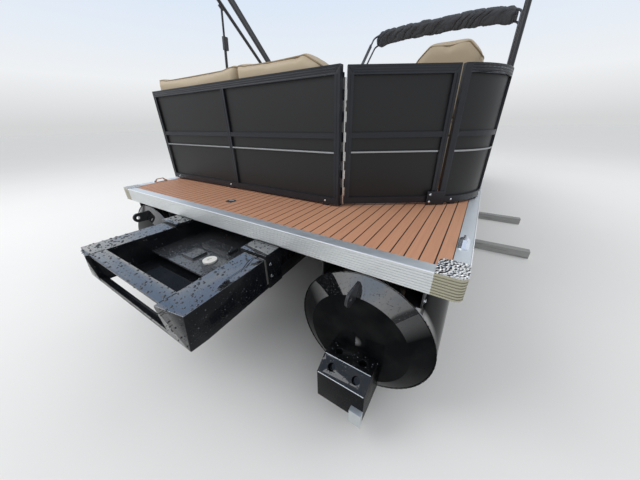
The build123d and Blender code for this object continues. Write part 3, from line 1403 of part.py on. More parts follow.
with BuildPart() as forks:
    for name, pivot_along, lean, way, strut_along in BIMINIS:
        for x in (-BIMINI_X, BIMINI_X):
            with BuildSketch(Plane.XY.offset(z_at(FENCE_HEIGHT))):
                with Locations((x, y_at(pivot_along))):
                    Rectangle(2 * (FORK_GAP + FORK_EAR), FORK_LENGTH)
            extrude(amount=FORK_BASE)
            for ear in (-1, 1):
                base = Plane(
                    origin=(x + ear * (FORK_GAP + FORK_EAR / 2) - FORK_EAR / 2, y_at(pivot_along), 0),
                    x_dir=(0, 1, 0),
                    z_dir=(1, 0, 0),
                )
                with BuildSketch(base):
                    with Locations((0, z_at(FENCE_HEIGHT + BIMINI_PIVOT / 2))):
                        Rectangle(2 * EYE + 2, BIMINI_PIVOT)
                    with Locations((0, z_at(FENCE_HEIGHT + BIMINI_PIVOT))):
                        Circle(EYE + 1)
                extrude(amount=FORK_EAR)
            pin_length = 2 * (FORK_GAP + FORK_EAR)
            pin_start = (x - pin_length / 2, y_at(pivot_along), z_at(FENCE_HEIGHT + BIMINI_PIVOT))
            with BuildSketch(Plane(origin=pin_start, z_dir=(1, 0, 0))):
                Circle(PIN)
            extrude(amount=pin_length)
save("bimini_forks", forks.part)

STRUT_FOOT = 8
SADDLE = (26, 18, 50)

with BuildPart() as struts:
    for name, pivot_along, lean, way, strut_along in BIMINIS:
        rise = math.radians(lean)
        fan = math.radians(lean - BIMINI_FAN)
        head_along = strut_along - way * STRUT_HEAD
        foot_run = FORK_PLACE * math.cos(rise) + BIMINI_OFFSET * math.sin(rise)
        foot_rise = FORK_PLACE * math.sin(rise) - BIMINI_OFFSET * math.cos(rise)
        run = way * (head_along - pivot_along) - foot_run
        bow_above = FENCE_HEIGHT + BIMINI_PIVOT + foot_rise + run * math.tan(fan)
        head_above = bow_above - (BIMINI_BOW / 2 + REST_GAP) / math.cos(fan)
        foot = Vector(0, y_at(strut_along), z_at(FENCE_HEIGHT))
        head = Vector(0, y_at(head_along), z_at(head_above))
        pole = head - foot
        bow_way = Vector(0, way * math.cos(fan), math.sin(fan))
        for x in (-BIMINI_X, BIMINI_X):
            with BuildSketch(Plane.XY.offset(z_at(FENCE_HEIGHT))):
                with Locations((x, y_at(strut_along))):
                    RectangleRounded(2 * STRUT_RADIUS, FORK_LENGTH, STRUT_FOOT)
            extrude(amount=STRUT_FOOT)
            with BuildSketch(Plane(origin=foot + Vector(x, 0, 0), x_dir=(1, 0, 0), z_dir=pole)):
                Circle(STRUT_RADIUS)
            extrude(amount=CLAMP_ABOVE)
            with BuildSketch(Plane(origin=foot + Vector(x, 0, 0), x_dir=(1, 0, 0), z_dir=pole)):
                Circle(STRUT_RADIUS - 3)
            extrude(amount=pole.length - STRUT_FOOT)
            clamp_base = foot + Vector(x, 0, 0) + pole.normalized() * (CLAMP_ABOVE - CLAMP[2] / 2)
            with BuildSketch(Plane(origin=clamp_base, x_dir=(1, 0, 0), z_dir=pole)):
                with Locations((0, -way * CLAMP[1] / 6)):
                    RectangleRounded(CLAMP[0], CLAMP[1], 6)
            extrude(amount=CLAMP[2])
            seat = Plane(
                origin=head + Vector(x, 0, 0) - bow_way * SADDLE[2] / 2, x_dir=(1, 0, 0), z_dir=bow_way
            )
            with BuildSketch(seat):
                with Locations((0, way * SADDLE[1] / 2)):
                    RectangleRounded(SADDLE[0], SADDLE[1], 5)
            extrude(amount=SADDLE[2])
        with BuildSketch(Plane.XY.offset(z_at(FENCE_HEIGHT))):
            for x in (-BIMINI_X, BIMINI_X):
                with Locations((x, y_at(strut_along))):
                    Rectangle(2 * CLAMP[2], 2 * CLAMP[2])
        extrude(amount=-CLAMP[1], mode=Mode.SUBTRACT)
save("bimini_struts", struts.part)

# Ground beams

with BuildPart() as beams:
    for along, end in BEAMS:
        with BuildSketch(Plane.XY):
            with Locations(((end - BEAM_OVERHANG) / 2, y_at(along))):
                Rectangle(BEAM_OVERHANG + end, BEAM_SECTION)
        extrude(amount=BEAM_SECTION)
save("ground_beams", beams.part)
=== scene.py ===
"""Dresses the pontoon boat: a finish for every node, soft goods, fittings, light and camera.

The model is in metres. X is starboard, Y the bow and Z up, with the ground at Z = 0. "Along"
is the distance forward from the deck's stern edge and "above" the height over the deck.
"""
from __future__ import annotations

import json
import logging
import math
from dataclasses import dataclass
from enum import Enum
from typing import Sequence

import bmesh
import bpy
import numpy as np
from mathutils import Matrix, Vector
from mathutils.bvhtree import BVHTree

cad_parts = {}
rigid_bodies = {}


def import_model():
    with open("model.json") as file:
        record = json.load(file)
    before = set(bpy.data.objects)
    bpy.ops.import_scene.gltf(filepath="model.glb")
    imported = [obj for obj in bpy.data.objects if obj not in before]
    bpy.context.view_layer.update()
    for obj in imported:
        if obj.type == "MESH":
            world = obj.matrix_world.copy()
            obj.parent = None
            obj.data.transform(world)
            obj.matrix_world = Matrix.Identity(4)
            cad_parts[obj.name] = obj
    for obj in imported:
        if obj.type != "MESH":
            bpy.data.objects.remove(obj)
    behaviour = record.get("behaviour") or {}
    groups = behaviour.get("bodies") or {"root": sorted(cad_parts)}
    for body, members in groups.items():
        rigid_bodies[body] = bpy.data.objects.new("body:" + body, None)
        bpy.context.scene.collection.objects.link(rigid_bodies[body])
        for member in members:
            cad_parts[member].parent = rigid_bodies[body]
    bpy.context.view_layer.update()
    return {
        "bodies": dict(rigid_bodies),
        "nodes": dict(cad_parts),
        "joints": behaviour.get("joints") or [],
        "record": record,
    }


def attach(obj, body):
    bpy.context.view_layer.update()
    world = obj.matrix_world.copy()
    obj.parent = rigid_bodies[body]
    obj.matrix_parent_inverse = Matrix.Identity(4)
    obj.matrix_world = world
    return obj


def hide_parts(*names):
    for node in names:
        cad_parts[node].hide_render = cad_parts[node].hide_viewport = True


LOG = logging.getLogger("pontoon_boat")

Socket = bpy.types.NodeSocket
Colour = tuple[float, float, float]
Point = tuple[float, float, float]
Shape = tuple[np.ndarray, np.ndarray]


# Frame values


@dataclass(frozen=True)
class Boat:
    """Datums of the boat in the shared frame."""

    stern: float = -3.0975
    deck: float = 0.865
    length: float = 6.7
    half_width: float = 1.275
    fence_depth: float = 0.032
    stile: float = 0.032
    tube_spread: float = 0.92
    tube_drop: float = 0.435
    tube_radius: float = 0.33

    def at(self, x: float, along: float, above: float) -> np.ndarray:
        """Place in the frame from boat measures."""
        return np.array((x, self.stern + along, self.deck + above))


BOAT = Boat()

RAIL_LIFT = (0.2475, 0.3555, 0.06)
"""Lowest and highest place over the deck of the panels' middle rails, and how far they go up."""

SHARP = math.radians(30)
"""Least angle between two faces at a sharp edge."""

MERGE = 1e-5
"""Distance under which two places of a mesh are one."""


class Axis(Enum):
    """Row axes, with their number."""

    X = 0
    Y = 1
    Z = 2


# Node trees


class Graph:
    """Node tree of a material or of the world, with short calls that add nodes and join them."""

    def __init__(self, name: str, world: bool = False) -> None:
        """Starts an empty tree.

        Args:
            name: the name of what it shades.
            world: whether that is the world.
        """
        self.owner = (bpy.data.worlds if world else bpy.data.materials).new(name)
        self.owner.use_nodes = True
        self.tree = self.owner.node_tree
        self.tree.nodes.clear()
        self.output = self.tree.nodes.new("ShaderNodeOutput" + ("World" if world else "Material"))
        self.coordinates = self.tree.nodes.new("ShaderNodeTexCoord")

    @property
    def place(self) -> Socket:
        """Object coordinates."""
        return self.coordinates.outputs["Object"]

    @property
    def uv(self) -> Socket:
        """The piece's own UV map."""
        return self.coordinates.outputs["UV"]

    def put(self, socket: Socket, value: object) -> None:
        """Links a socket to an input, or sets the input's own value.

        Args:
            socket: the input.
            value: a socket, or a number, colour or vector.
        """
        if isinstance(value, bpy.types.NodeSocket):
            self.tree.links.new(value, socket)
        else:
            socket.default_value = value

    def node(self, kind: str, settings: dict | None = None, **inputs: object) -> bpy.types.Node:
        """Adds a node.

        Args:
            kind: the node's type, without its ShaderNode prefix.
            settings: attributes of the node.
            inputs: values or sockets for its inputs, by name with _ for a space.

        Returns:
            The node.
        """
        made = self.tree.nodes.new("ShaderNode" + kind)
        for key, value in (settings or {}).items():
            setattr(made, key, value)
        for key, value in inputs.items():
            self.put(made.inputs[key.replace("_", " ")], value)
        return made

    def scaled(self, scale: Point, vector: Socket | None = None) -> Socket:
        """Coordinates stretched by a factor along each axis."""
        return self.node("Mapping", Vector=vector or self.place, Scale=scale).outputs[0]

    def noise(
        self, scale: float, detail: float = 3.0, vector: Socket | None = None, rough: float = 0.5
    ) -> Socket:
        """Soft noise between 0 and 1."""
        made = self.node("TexNoise", Vector=vector or self.place, Scale=scale, Detail=detail, Roughness=rough)
        return made.outputs["Fac"]

    def cells(self, scale: float, feature: str = "F1", output: str = "Distance") -> Socket:
        """Cell pattern: the distance to the nearest point, or another output."""
        made = self.node("TexVoronoi", {"feature": feature}, Vector=self.place, Scale=scale)
        return made.outputs[output]

    def calc(self, operation: str, first: object, second: object = 0.0) -> Socket:
        """One step of arithmetic.

        Args:
            operation: its name.
            first: a socket or a number.
            second: another one.

        Returns:
            The result's socket.
        """
        made = self.tree.nodes.new("ShaderNodeMath")
        made.operation = operation
        self.put(made.inputs[0], first)
        self.put(made.inputs[1], second)
        return made.outputs[0]

    def ramp(self, value: Socket, low: float, high: float, start: float = 0.0, end: float = 1.0) -> Socket:
        """A value taken from one range to another and held at its ends.

        Args:
            value: the value.
            low: where the first range begins.
            high: where it ends.
            start: where the second range begins.
            end: where it ends.

        Returns:
            The result's socket.
        """
        made = self.node("MapRange", {"clamp": True}, Value=value)
        for index, number in enumerate((low, high, start, end), start=1):
            made.inputs[index].default_value = number
        return made.outputs[0]

    def blend(self, share: object, first: object, second: object) -> Socket:
        """Mix of two colours, by the share of the second.

        Args:
            share: that share, as a socket or a number.
            first: a colour or a socket.
            second: another one.

        Returns:
            The mix's socket.
        """
        made = self.tree.nodes.new("ShaderNodeMix")
        made.data_type = "RGBA"
        self.put(made.inputs[0], share)
        for socket, value in ((made.inputs[6], first), (made.inputs[7], second)):
            self.put(socket, (*value, 1.0) if isinstance(value, tuple) else value)
        return made.outputs[2]

    def either(self, share: Socket, first: Socket, second: Socket) -> Socket:
        """Mix of two shaders, by the share of the second.

        Args:
            share: that share.
            first: a shader.
            second: another one.

        Returns:
            The mix's socket.
        """
        made = self.node("MixShader")
        for index, socket in enumerate((share, first, second)):
            self.put(made.inputs[index], socket)
        return made.outputs[0]

    def split(self, axis: Axis, vector: Socket | None = None) -> Socket:
        """One coordinate of a vector."""
        return self.node("SeparateXYZ", Vector=vector or self.place).outputs[axis.value]

    def relief(self, height: Socket, strength: float, distance: float, under: Socket | None = None) -> Socket:
        """Normal that a height gives.

        Args:
            height: the relief's height, from 0 to 1.
            strength: how strongly it shows.
            distance: its depth in metres.
            under: the normal of a larger relief beneath.

        Returns:
            The normal's socket.
        """
        made = self.node("Bump", Height=height, Strength=strength, Distance=distance)
        if under is not None:
            self.put(made.inputs["Normal"], under)
        return made.outputs[0]

    def shade(self, **inputs: object) -> bpy.types.Material:
        """Closes the tree with the surface shader.

        Args:
            inputs: values or sockets for its inputs, by name with _ for a space.

        Returns:
            The material.
        """
        shader = self.node("BsdfPrincipled")
        for key, value in inputs.items():
            plain_colour = "Color" in key and isinstance(value, tuple)
            self.put(shader.inputs[key.replace("_", " ")], (*value, 1.0) if plain_colour else value)
        self.put(self.output.inputs["Surface"], shader.outputs[0])
        return self.owner


# Finishes


@dataclass(frozen=True)
class Paint:
    """Gloss or satin paint on metal, with dust in it and, if wet, rain drops.

    Attributes:
        film: upward part of the normal at which a film of rain water begins, and at which it
            is whole; none where the coat lies all over.
        reach: how far forward of the stern edge the film goes.
        level: the film's lowest place, over the deck.
        streak: how strongly vertical rain streaks show.
        dusty: colour of the dust.
        streaky: colour of the streaks.
        drops: cell scale and largest share of a cell, for each size of the fine drops.
    """

    name: str
    colour: Colour
    roughness: float = 0.12
    ior: float = 1.45
    coat: float = 0.0
    coat_ior: float = 1.5
    film: tuple[float, float] | None = None
    reach: float = 9.0
    level: float = -1.0
    wet: bool = False
    grain: float = 0.0
    wave: float = 0.02
    dust: float = 0.12
    streak: float = 0.0
    dusty: Colour = (0.06, 0.06, 0.058)
    streaky: Colour = (0.075, 0.07, 0.062)
    drops: tuple[tuple[float, float], ...] = ((160, 0.4), (330, 0.42))

    def coating(self, graph: Graph) -> Socket | float:
        """Weight of the coat, which a film of water has only where it can lie.

        Args:
            graph: the material's tree.

        Returns:
            The weight, or its socket.
        """
        if self.film is None:
            return self.coat
        upward = graph.split(Axis.Z, graph.node("NewGeometry").outputs["Normal"])
        edge, foot = BOAT.stern + self.reach, BOAT.deck + self.level
        open_sky = graph.calc("MULTIPLY", graph.ramp(graph.split(Axis.Y), edge, edge + 0.03, 1.0, 0.0),
                              graph.ramp(graph.split(Axis.Z), foot - 0.01, foot))
        return graph.calc("MULTIPLY", graph.ramp(upward, *self.film, 0.0, self.coat), open_sky)

    def build(self) -> bpy.types.Material:
        """Makes the material.

        Returns:
            The material.
        """
        graph = Graph(self.name)
        dust = graph.ramp(graph.noise(9, 5), 0.45, 0.75)
        base = graph.blend(graph.calc("MULTIPLY", dust, self.dust), self.colour, self.dusty)
        rough = graph.ramp(graph.noise(14, 4), 0.3, 0.8, self.roughness, self.roughness + 0.1)
        normal = graph.relief(graph.noise(3.5, 1), self.wave, 0.05)
        if self.streak:
            runs = graph.ramp(graph.noise(1.0, 4, graph.scaled((26.0, 26.0, 1.3)), 0.6), 0.38, 0.72)
            base = graph.blend(graph.calc("MULTIPLY", runs, self.streak), base, self.streaky)
            normal = graph.relief(runs, 0.1, 0.004, normal)
        if self.grain:
            normal = graph.relief(graph.noise(900, 2), self.grain, 0.001, normal)
        if self.wet:
            for scale, size in self.drops:
                jitter = graph.cells(scale, output="Color")
                keep = graph.ramp(graph.split(Axis.X, jitter), 0.35, 0.9, 0.0, size)
                drop = graph.calc("SUBTRACT", keep, graph.cells(scale))
                height = graph.calc("SQRT", graph.calc("MAXIMUM", drop, 0.0))
                normal = graph.relief(height, 0.8, 0.3 / scale, normal)
        return graph.shade(
            Base_Color=base, Roughness=rough, Normal=normal, IOR=self.ior, Coat_Weight=self.coating(graph),
            Coat_IOR=self.coat_ior, Coat_Roughness=0.02,
        )


@dataclass(frozen=True)
class Metal:
    """Bare metal: drawn along an axis, hammered or polished.

    Attributes:
        drawn: axis along which it was drawn.
        hammered: scale of the dents, or 0 for none.
        above: height over which it is hammered, everywhere where none is given.
        below: its colour under that height.
        tarnish: how strongly dull spots show.
    """

    name: str
    colour: Colour
    roughness: float
    drawn: Axis | None = None
    hammered: float = 0.0
    above: float | None = None
    below: Colour | None = None
    tarnish: float = 0.15

    def build(self) -> bpy.types.Material:
        """Makes the material.

        Returns:
            The material.
        """
        graph = Graph(self.name)
        spots = graph.ramp(graph.noise(7, 6), 0.4, 0.8)
        dull = tuple(0.72 * c for c in self.colour)
        base = graph.blend(graph.calc("MULTIPLY", spots, self.tarnish), self.colour, dull)
        crown = None
        if self.above is not None:
            crown = graph.ramp(graph.split(Axis.Z), self.above, self.above + 0.001)
            base = graph.blend(crown, self.below or base, base)
        rough = graph.ramp(graph.noise(30, 4), 0.25, 0.8, self.roughness, self.roughness + 0.12)
        normal = graph.relief(graph.noise(60, 3), 0.03, 0.002)
        if self.drawn is not None:
            stretch = [500.0, 500.0, 500.0]
            stretch[self.drawn.value] = 4.0
            lines = graph.noise(1.0, 3, graph.scaled(tuple(stretch)))
            normal = graph.relief(lines, 0.12, 0.0006, normal)
            rough = graph.calc("ADD", rough, graph.calc("MULTIPLY", lines, 0.08))
        if self.hammered:
            beaten = graph.cells(self.hammered, "SMOOTH_F1")
            if crown is not None:
                beaten = graph.calc("MULTIPLY", beaten, crown)
                rough = graph.calc("MULTIPLY", rough, graph.ramp(crown, 0.0, 1.0, 1.0, 0.3))
            normal = graph.relief(beaten, 1.0, 0.006, normal)
        return graph.shade(Base_Color=base, Metallic=1.0, Roughness=rough, Normal=normal)


@dataclass(frozen=True)
class Planking:
    """Timber-look planks along the boat with black seams and a brushed grain.

    Attributes:
        dark: colour of the darkest grain.
        pitch: from one plank to the next.
        seam: width of a seam.
        caulk: colour of the seams.
    """

    name: str = "teak_planks"
    colour: Colour = (0.57, 0.30, 0.185)
    dark: Colour = (0.43, 0.205, 0.12)
    pitch: float = 0.0552
    seam: float = 0.0052
    caulk: Colour = (0.012, 0.011, 0.01)

    def build(self) -> bpy.types.Material:
        """Makes the material.

        Returns:
            The material.
        """
        graph = Graph(self.name)
        across = graph.calc("ADD", graph.calc("DIVIDE", graph.split(Axis.X), self.pitch), 100.0)
        plank = graph.calc("FLOOR", across)
        tone = graph.node("TexWhiteNoise", {"noise_dimensions": "1D"}, W=plank).outputs["Value"]
        fibres = graph.noise(1.0, 6, graph.scaled((420.0, 9.0, 60.0)), 0.65)
        streaks = graph.noise(1.0, 4, graph.scaled((90.0, 1.6, 20.0)), 0.6)
        share = graph.calc("ADD", graph.calc("MULTIPLY", graph.ramp(fibres, 0.3, 0.7), 0.45),
                           graph.calc("MULTIPLY", graph.ramp(streaks, 0.3, 0.75), 0.4))
        share = graph.calc("ADD", share, graph.calc("MULTIPLY", graph.calc("SUBTRACT", tone, 0.5), 0.22))
        wood = graph.blend(share, self.colour, self.dark)
        edge = graph.calc("ABSOLUTE", graph.calc("SUBTRACT", graph.calc("FRACT", across), 0.5))
        edge = graph.calc("SUBTRACT", 0.5, edge)
        half_seam = 0.5 * self.seam / self.pitch
        in_seam = graph.ramp(edge, 0.9 * half_seam, 1.15 * half_seam, 1.0, 0.0)
        base = graph.blend(in_seam, wood, self.caulk)
        normal = graph.relief(fibres, 0.35, 0.0008)
        rough = graph.ramp(streaks, 0.2, 0.8, 0.5, 0.68)
        return graph.shade(Base_Color=base, Roughness=rough, Normal=normal, Specular_IOR_Level=0.35)


@dataclass(frozen=True)
class Vinyl:
    """Soft sheet with a leather grain, creases and a little rubbed gloss."""

    name: str
    colour: Colour
    grain: float = 420.0

    def build(self) -> bpy.types.Material:
        """Makes the material.

        Returns:
            The material.
        """
        graph = Graph(self.name)
        shade = graph.ramp(graph.noise(3.2, 5), 0.3, 0.75)
        worn = tuple(0.88 * c for c in self.colour)
        base = graph.blend(shade, self.colour, worn)
        pebble = graph.cells(self.grain, "SMOOTH_F1")
        rough = graph.ramp(graph.noise(11, 4), 0.3, 0.75, 0.42, 0.56)
        normal = graph.relief(graph.noise(16, 4), 0.12, 0.006)
        normal = graph.relief(pebble, 0.28, 0.0006, normal)
        return graph.shade(Base_Color=base, Roughness=rough, Normal=normal, Specular_IOR_Level=0.4)


@dataclass(frozen=True)
class Canvas:
    """Woven canvas whose threads follow the piece's own UV map, in metres."""

    name: str
    colour: Colour
    thread: float = 0.0016

    def build(self) -> bpy.types.Material:
        """Makes the material.

        Returns:
            The material.
        """
        graph = Graph(self.name)
        turn = 2 * math.pi / self.thread
        ups = [
            graph.calc("SINE", graph.calc("MULTIPLY", graph.split(axis, graph.uv), turn))
            for axis in (Axis.X, Axis.Y)
        ]
        weave = graph.calc("MULTIPLY", graph.calc("MAXIMUM", ups[0], ups[1]), 0.5)
        fade = graph.ramp(graph.noise(5, 5), 0.3, 0.75)
        light = tuple(1.5 * c for c in self.colour)
        base = graph.blend(fade, self.colour, light)
        normal = graph.relief(graph.noise(24, 4), 0.25, 0.006)
        normal = graph.relief(weave, 0.3, 0.0005, normal)
        return graph.shade(
            Base_Color=base, Roughness=0.82, Normal=normal, Sheen_Weight=0.25, Sheen_Roughness=0.4,
            Specular_IOR_Level=0.3,
        )


@dataclass(frozen=True)
class Timber:
    """Weathered grey timber with long cracks."""

    name: str = "grey_timber"
    pale: Colour = (0.42, 0.42, 0.41)
    dark: Colour = (0.26, 0.26, 0.26)
    crack: Colour = (0.08, 0.08, 0.08)

    def build(self) -> bpy.types.Material:
        """Makes the material.

        Returns:
            The material.
        """
        graph = Graph(self.name)
        grain = graph.noise(1.0, 6, graph.scaled((5.0, 160.0, 160.0)), 0.65)
        cracks = graph.ramp(graph.noise(1.0, 3, graph.scaled((3.0, 60.0, 60.0))), 0.62, 0.68)
        base = graph.blend(graph.ramp(grain, 0.3, 0.7), self.pale, self.dark)
        base = graph.blend(graph.calc("MULTIPLY", cracks, 0.6), base, self.crack)
        normal = graph.relief(grain, 0.5, 0.002)
        return graph.shade(Base_Color=base, Roughness=0.85, Normal=normal)


@dataclass(frozen=True)
class Moulding:
    """Moulded plastic or rubber with a fine cast texture."""

    name: str
    colour: Colour
    roughness: float = 0.4
    texture: float = 0.1
    coat: float = 0.0

    def build(self) -> bpy.types.Material:
        """Makes the material.

        Returns:
            The material.
        """
        graph = Graph(self.name)
        tone = tuple(0.8 * c for c in self.colour)
        base = graph.blend(graph.ramp(graph.noise(6, 5), 0.35, 0.75), self.colour, tone)
        rough = graph.ramp(graph.noise(20, 4), 0.3, 0.8, self.roughness, self.roughness + 0.1)
        normal = graph.relief(graph.noise(700, 3), self.texture, 0.0008)
        return graph.shade(Base_Color=base, Roughness=rough, Normal=normal, Coat_Weight=self.coat)


@dataclass(frozen=True)
class Screen:
    """Smoked acrylic sheet."""

    name: str = "smoked_screen"
    colour: Colour = (0.16, 0.17, 0.18)

    def build(self) -> bpy.types.Material:
        """Makes the material.

        Returns:
            The material.
        """
        graph = Graph(self.name)
        rough = graph.ramp(graph.noise(12, 4), 0.4, 0.8, 0.02, 0.08)
        return graph.shade(Base_Color=self.colour, Roughness=rough, Transmission_Weight=0.85, IOR=1.49)


@dataclass(frozen=True)
class Water:
    """Rain drops on black paint: as dark as what lies under them, with a bright glint."""

    name: str = "rain_water"
    dark: Colour = (0.012, 0.014, 0.017)
    pale: Colour = (0.03, 0.034, 0.04)

    def build(self) -> bpy.types.Material:
        """Makes the material.

        Returns:
            The material.
        """
        graph = Graph(self.name)
        rough = graph.ramp(graph.noise(40, 2), 0.3, 0.8, 0.02, 0.05)
        tone = graph.blend(graph.noise(90, 2), self.dark, self.pale)
        return graph.shade(Base_Color=tone, Roughness=rough, IOR=1.7)


@dataclass(frozen=True)
class Dial:
    """Instrument face: a dark disc whose ring of marks follows the piece's own UV map.

    Attributes:
        marks: how many marks stand round it.
        stroke: share of a mark's pitch that is marked.
        band: where the marks begin and end, as shares of the radius.
        ink: colour of the marks.
    """

    name: str = "dial_face"
    marks: float = 24.0
    stroke: float = 0.16
    band: tuple[float, float] = (0.74, 0.92)
    ink: Colour = (0.75, 0.75, 0.72)

    def build(self) -> bpy.types.Material:
        """Makes the material. U runs once round the dial and V from its middle to its rim.

        Returns:
            The material.
        """
        graph = Graph(self.name)
        round_way, to_rim = graph.split(Axis.X, graph.uv), graph.split(Axis.Y, graph.uv)
        beat = graph.calc("FRACT", graph.calc("MULTIPLY", round_way, self.marks))
        stroke = graph.calc("LESS_THAN", beat, self.stroke)
        stroke = graph.calc("MULTIPLY", stroke, graph.calc("GREATER_THAN", to_rim, self.band[0]))
        stroke = graph.calc("MULTIPLY", stroke, graph.calc("LESS_THAN", to_rim, self.band[1]))
        tone = graph.blend(graph.noise(200, 2), (0.02, 0.021, 0.023), (0.028, 0.029, 0.031))
        base = graph.blend(stroke, tone, self.ink)
        return graph.shade(Base_Color=base, Roughness=0.16, Coat_Weight=0.6)


FINISHES = (
    Paint("tube_gloss", (0.003, 0.0035, 0.004), 0.04, ior=1.1, coat=1.0, coat_ior=3.2,
          film=(0.22, 0.6), reach=0.03),
    Paint("pod_wet_gloss", (0.006, 0.007, 0.009), 0.05, ior=1.2, coat=1.0, coat_ior=2.5,
          film=(0.5, 0.95), reach=-0.03, level=-0.14, wet=True),
    Paint("gusset_grey", (0.1, 0.098, 0.094), 0.3, ior=1.7, dust=0.3),
    Paint("tray_gloss", (0.03, 0.032, 0.036), 0.2, ior=1.7, coat=0.4, coat_ior=1.7, wet=True),
    Paint("box_gloss", (0.004, 0.0045, 0.005), 0.3, ior=1.15, coat=0.45, coat_ior=1.7,
          film=(0.3, 0.6), wet=True),
    Paint("fence_satin", (0.012, 0.0135, 0.019), 0.33, grain=0.12),
    Paint("panel_gloss", (0.003, 0.003, 0.0035), 0.03, ior=1.6, coat=0.15, wave=0.15, streak=0.5),
    Paint("arm_satin", (0.045, 0.048, 0.055), 0.38, grain=0.1),
    Paint("fitting_satin", (0.02, 0.021, 0.024), 0.36, grain=0.1),
    Metal("edge_aluminium", (0.74, 0.755, 0.75), 0.42, Axis.X),
    Metal("strip_aluminium", (0.4, 0.405, 0.41), 0.34),
    # painted highlight: near-white metal for the rods along the deck's edge, which stand in for the edge's
    # glint
    Metal("lip_highlight_aluminium", (0.95, 0.95, 0.95), 0.4, tarnish=0.05),
    Metal("corner_cast", (0.72, 0.7, 0.66), 0.2, Axis.X, hammered=110.0, above=0.8641,
          below=(0.42, 0.4, 0.31)),
    Metal("polished_steel", (0.78, 0.79, 0.8), 0.07, tarnish=0.05),
    Metal("mill_aluminium", (0.6, 0.61, 0.62), 0.36, Axis.X),
    Metal("hinge_steel", (0.62, 0.61, 0.59), 0.26, Axis.Z),
    Metal("cast_zinc", (0.62, 0.65, 0.66), 0.5),
    Metal("fork_grey", (0.2, 0.205, 0.21), 0.42),
    Planking(),
    Vinyl("tan_vinyl", (0.36, 0.27, 0.16)),
    Vinyl("tan_piping", (0.26, 0.19, 0.11)),
    Canvas("boot_canvas", (0.055, 0.058, 0.064)),
    Timber(),
    Moulding("base_moulding", (0.42, 0.36, 0.28), 0.45),
    Moulding("console_gloss", (0.035, 0.036, 0.04), 0.18, 0.03, 0.4),
    Moulding("grip_black", (0.014, 0.014, 0.015), 0.55, 0.4),
    Moulding("plug_white", (0.78, 0.78, 0.74), 0.3),
    Moulding("deck_ply", (0.22, 0.15, 0.09), 0.7, 0.3),
    Screen(),
    Water(),
    Dial(),
)

NODE_FINISH = {
    "starboard_pontoon": "tube_gloss", "port_pontoon": "tube_gloss", "risers": "fitting_satin",
    "cross_members": "mill_aluminium", "deck_board": "deck_ply", "flooring": "teak_planks",
    "edge_profiles": "edge_aluminium", "corner_castings": "corner_cast", "cleats": "polished_steel",
    "deck_fitting": "polished_steel", "motor_pod": "pod_wet_gloss", "pod_tray": "tray_gloss",
    "pod_plug": "plug_white", "stern_boxes": "box_gloss", "stern_anodes": "cast_zinc",
    "stern_eyes": "fitting_satin", "fence_frames": "fence_satin", "corner_frames": "fence_satin",
    "stern_gate_frame": "fence_satin", "bow_gate_frame": "fence_satin", "side_gate_frame": "fence_satin",
    "fence_skins": "panel_gloss", "corner_skins": "panel_gloss", "stern_gate_skin": "panel_gloss",
    "bow_gate_skin": "panel_gloss", "side_gate_skin": "panel_gloss", "stern_gate_hinge": "hinge_steel",
    "bow_gate_hinge": "hinge_steel", "side_gate_hinge": "hinge_steel", "gate_hinge_leaves": "hinge_steel",
    "lounge_bases": "base_moulding", "helm_console": "console_gloss", "windscreen": "smoked_screen",
    "steering_wheel": "grip_black", "helm_controls": "grip_black", "seat_pedestal": "mill_aluminium",
    "seat_shell": "console_gloss", "aft_bimini_bows": "arm_satin", "forward_bimini_bows": "arm_satin",
    "bimini_forks": "fork_grey", "bimini_struts": "fitting_satin", "ground_beams": "grey_timber",
}


def finish(piece: bpy.types.Object, name: str) -> None:
    """Gives a piece one finish, on its object's slot.

    Args:
        piece: the piece.
        name: the finish's name.
    """
    if not piece.material_slots:
        piece.data.materials.append(None)
    for place in piece.material_slots:
        place.link = "OBJECT"
        place.material = bpy.data.materials[name]


# Mesh tools


def piece_from(name: str, vertices: np.ndarray, faces: np.ndarray, smooth: bool = True) -> bpy.types.Object:
    """Makes an object at the origin from arrays.

    Args:
        name: the piece's name.
        vertices: places, one row each.
        faces: corner numbers of quads or triangles, one row each.
        smooth: whether its shading is smooth.

    Returns:
        The object.
    """
    mesh = bpy.data.meshes.new(name)
    mesh.from_pydata(np.asarray(vertices, float).tolist(), [], np.asarray(faces, int).tolist())
    mesh.polygons.foreach_set("use_smooth", np.full(len(mesh.polygons), smooth))
    mesh.update()
    piece = bpy.data.objects.new(name, mesh)
    bpy.context.scene.collection.objects.link(piece)
    LOG.info("%s: %d faces", name, len(mesh.polygons))
    return piece


def grid_faces(rows: int, columns: int, wrap_rows: bool = False, wrap_columns: bool = False) -> np.ndarray:
    """Quads of a grid of places: a corner's number is its row times the columns plus its column.

    Args:
        rows: rows of the grid.
        columns: places in each row.
        wrap_rows: whether the last row joins the first.
        wrap_columns: whether each row's last place joins its first.

    Returns:
        Corner numbers, one row for each quad.
    """
    row = np.arange(rows if wrap_rows else rows - 1)
    column = np.arange(columns if wrap_columns else columns - 1)
    near, left = np.meshgrid(row, column, indexing="ij")
    far, right = (near + 1) % rows, (left + 1) % columns
    corners = ((near, left), (near, right), (far, right), (far, left))
    return np.stack([(line * columns + place).ravel() for line, place in corners], axis=1)


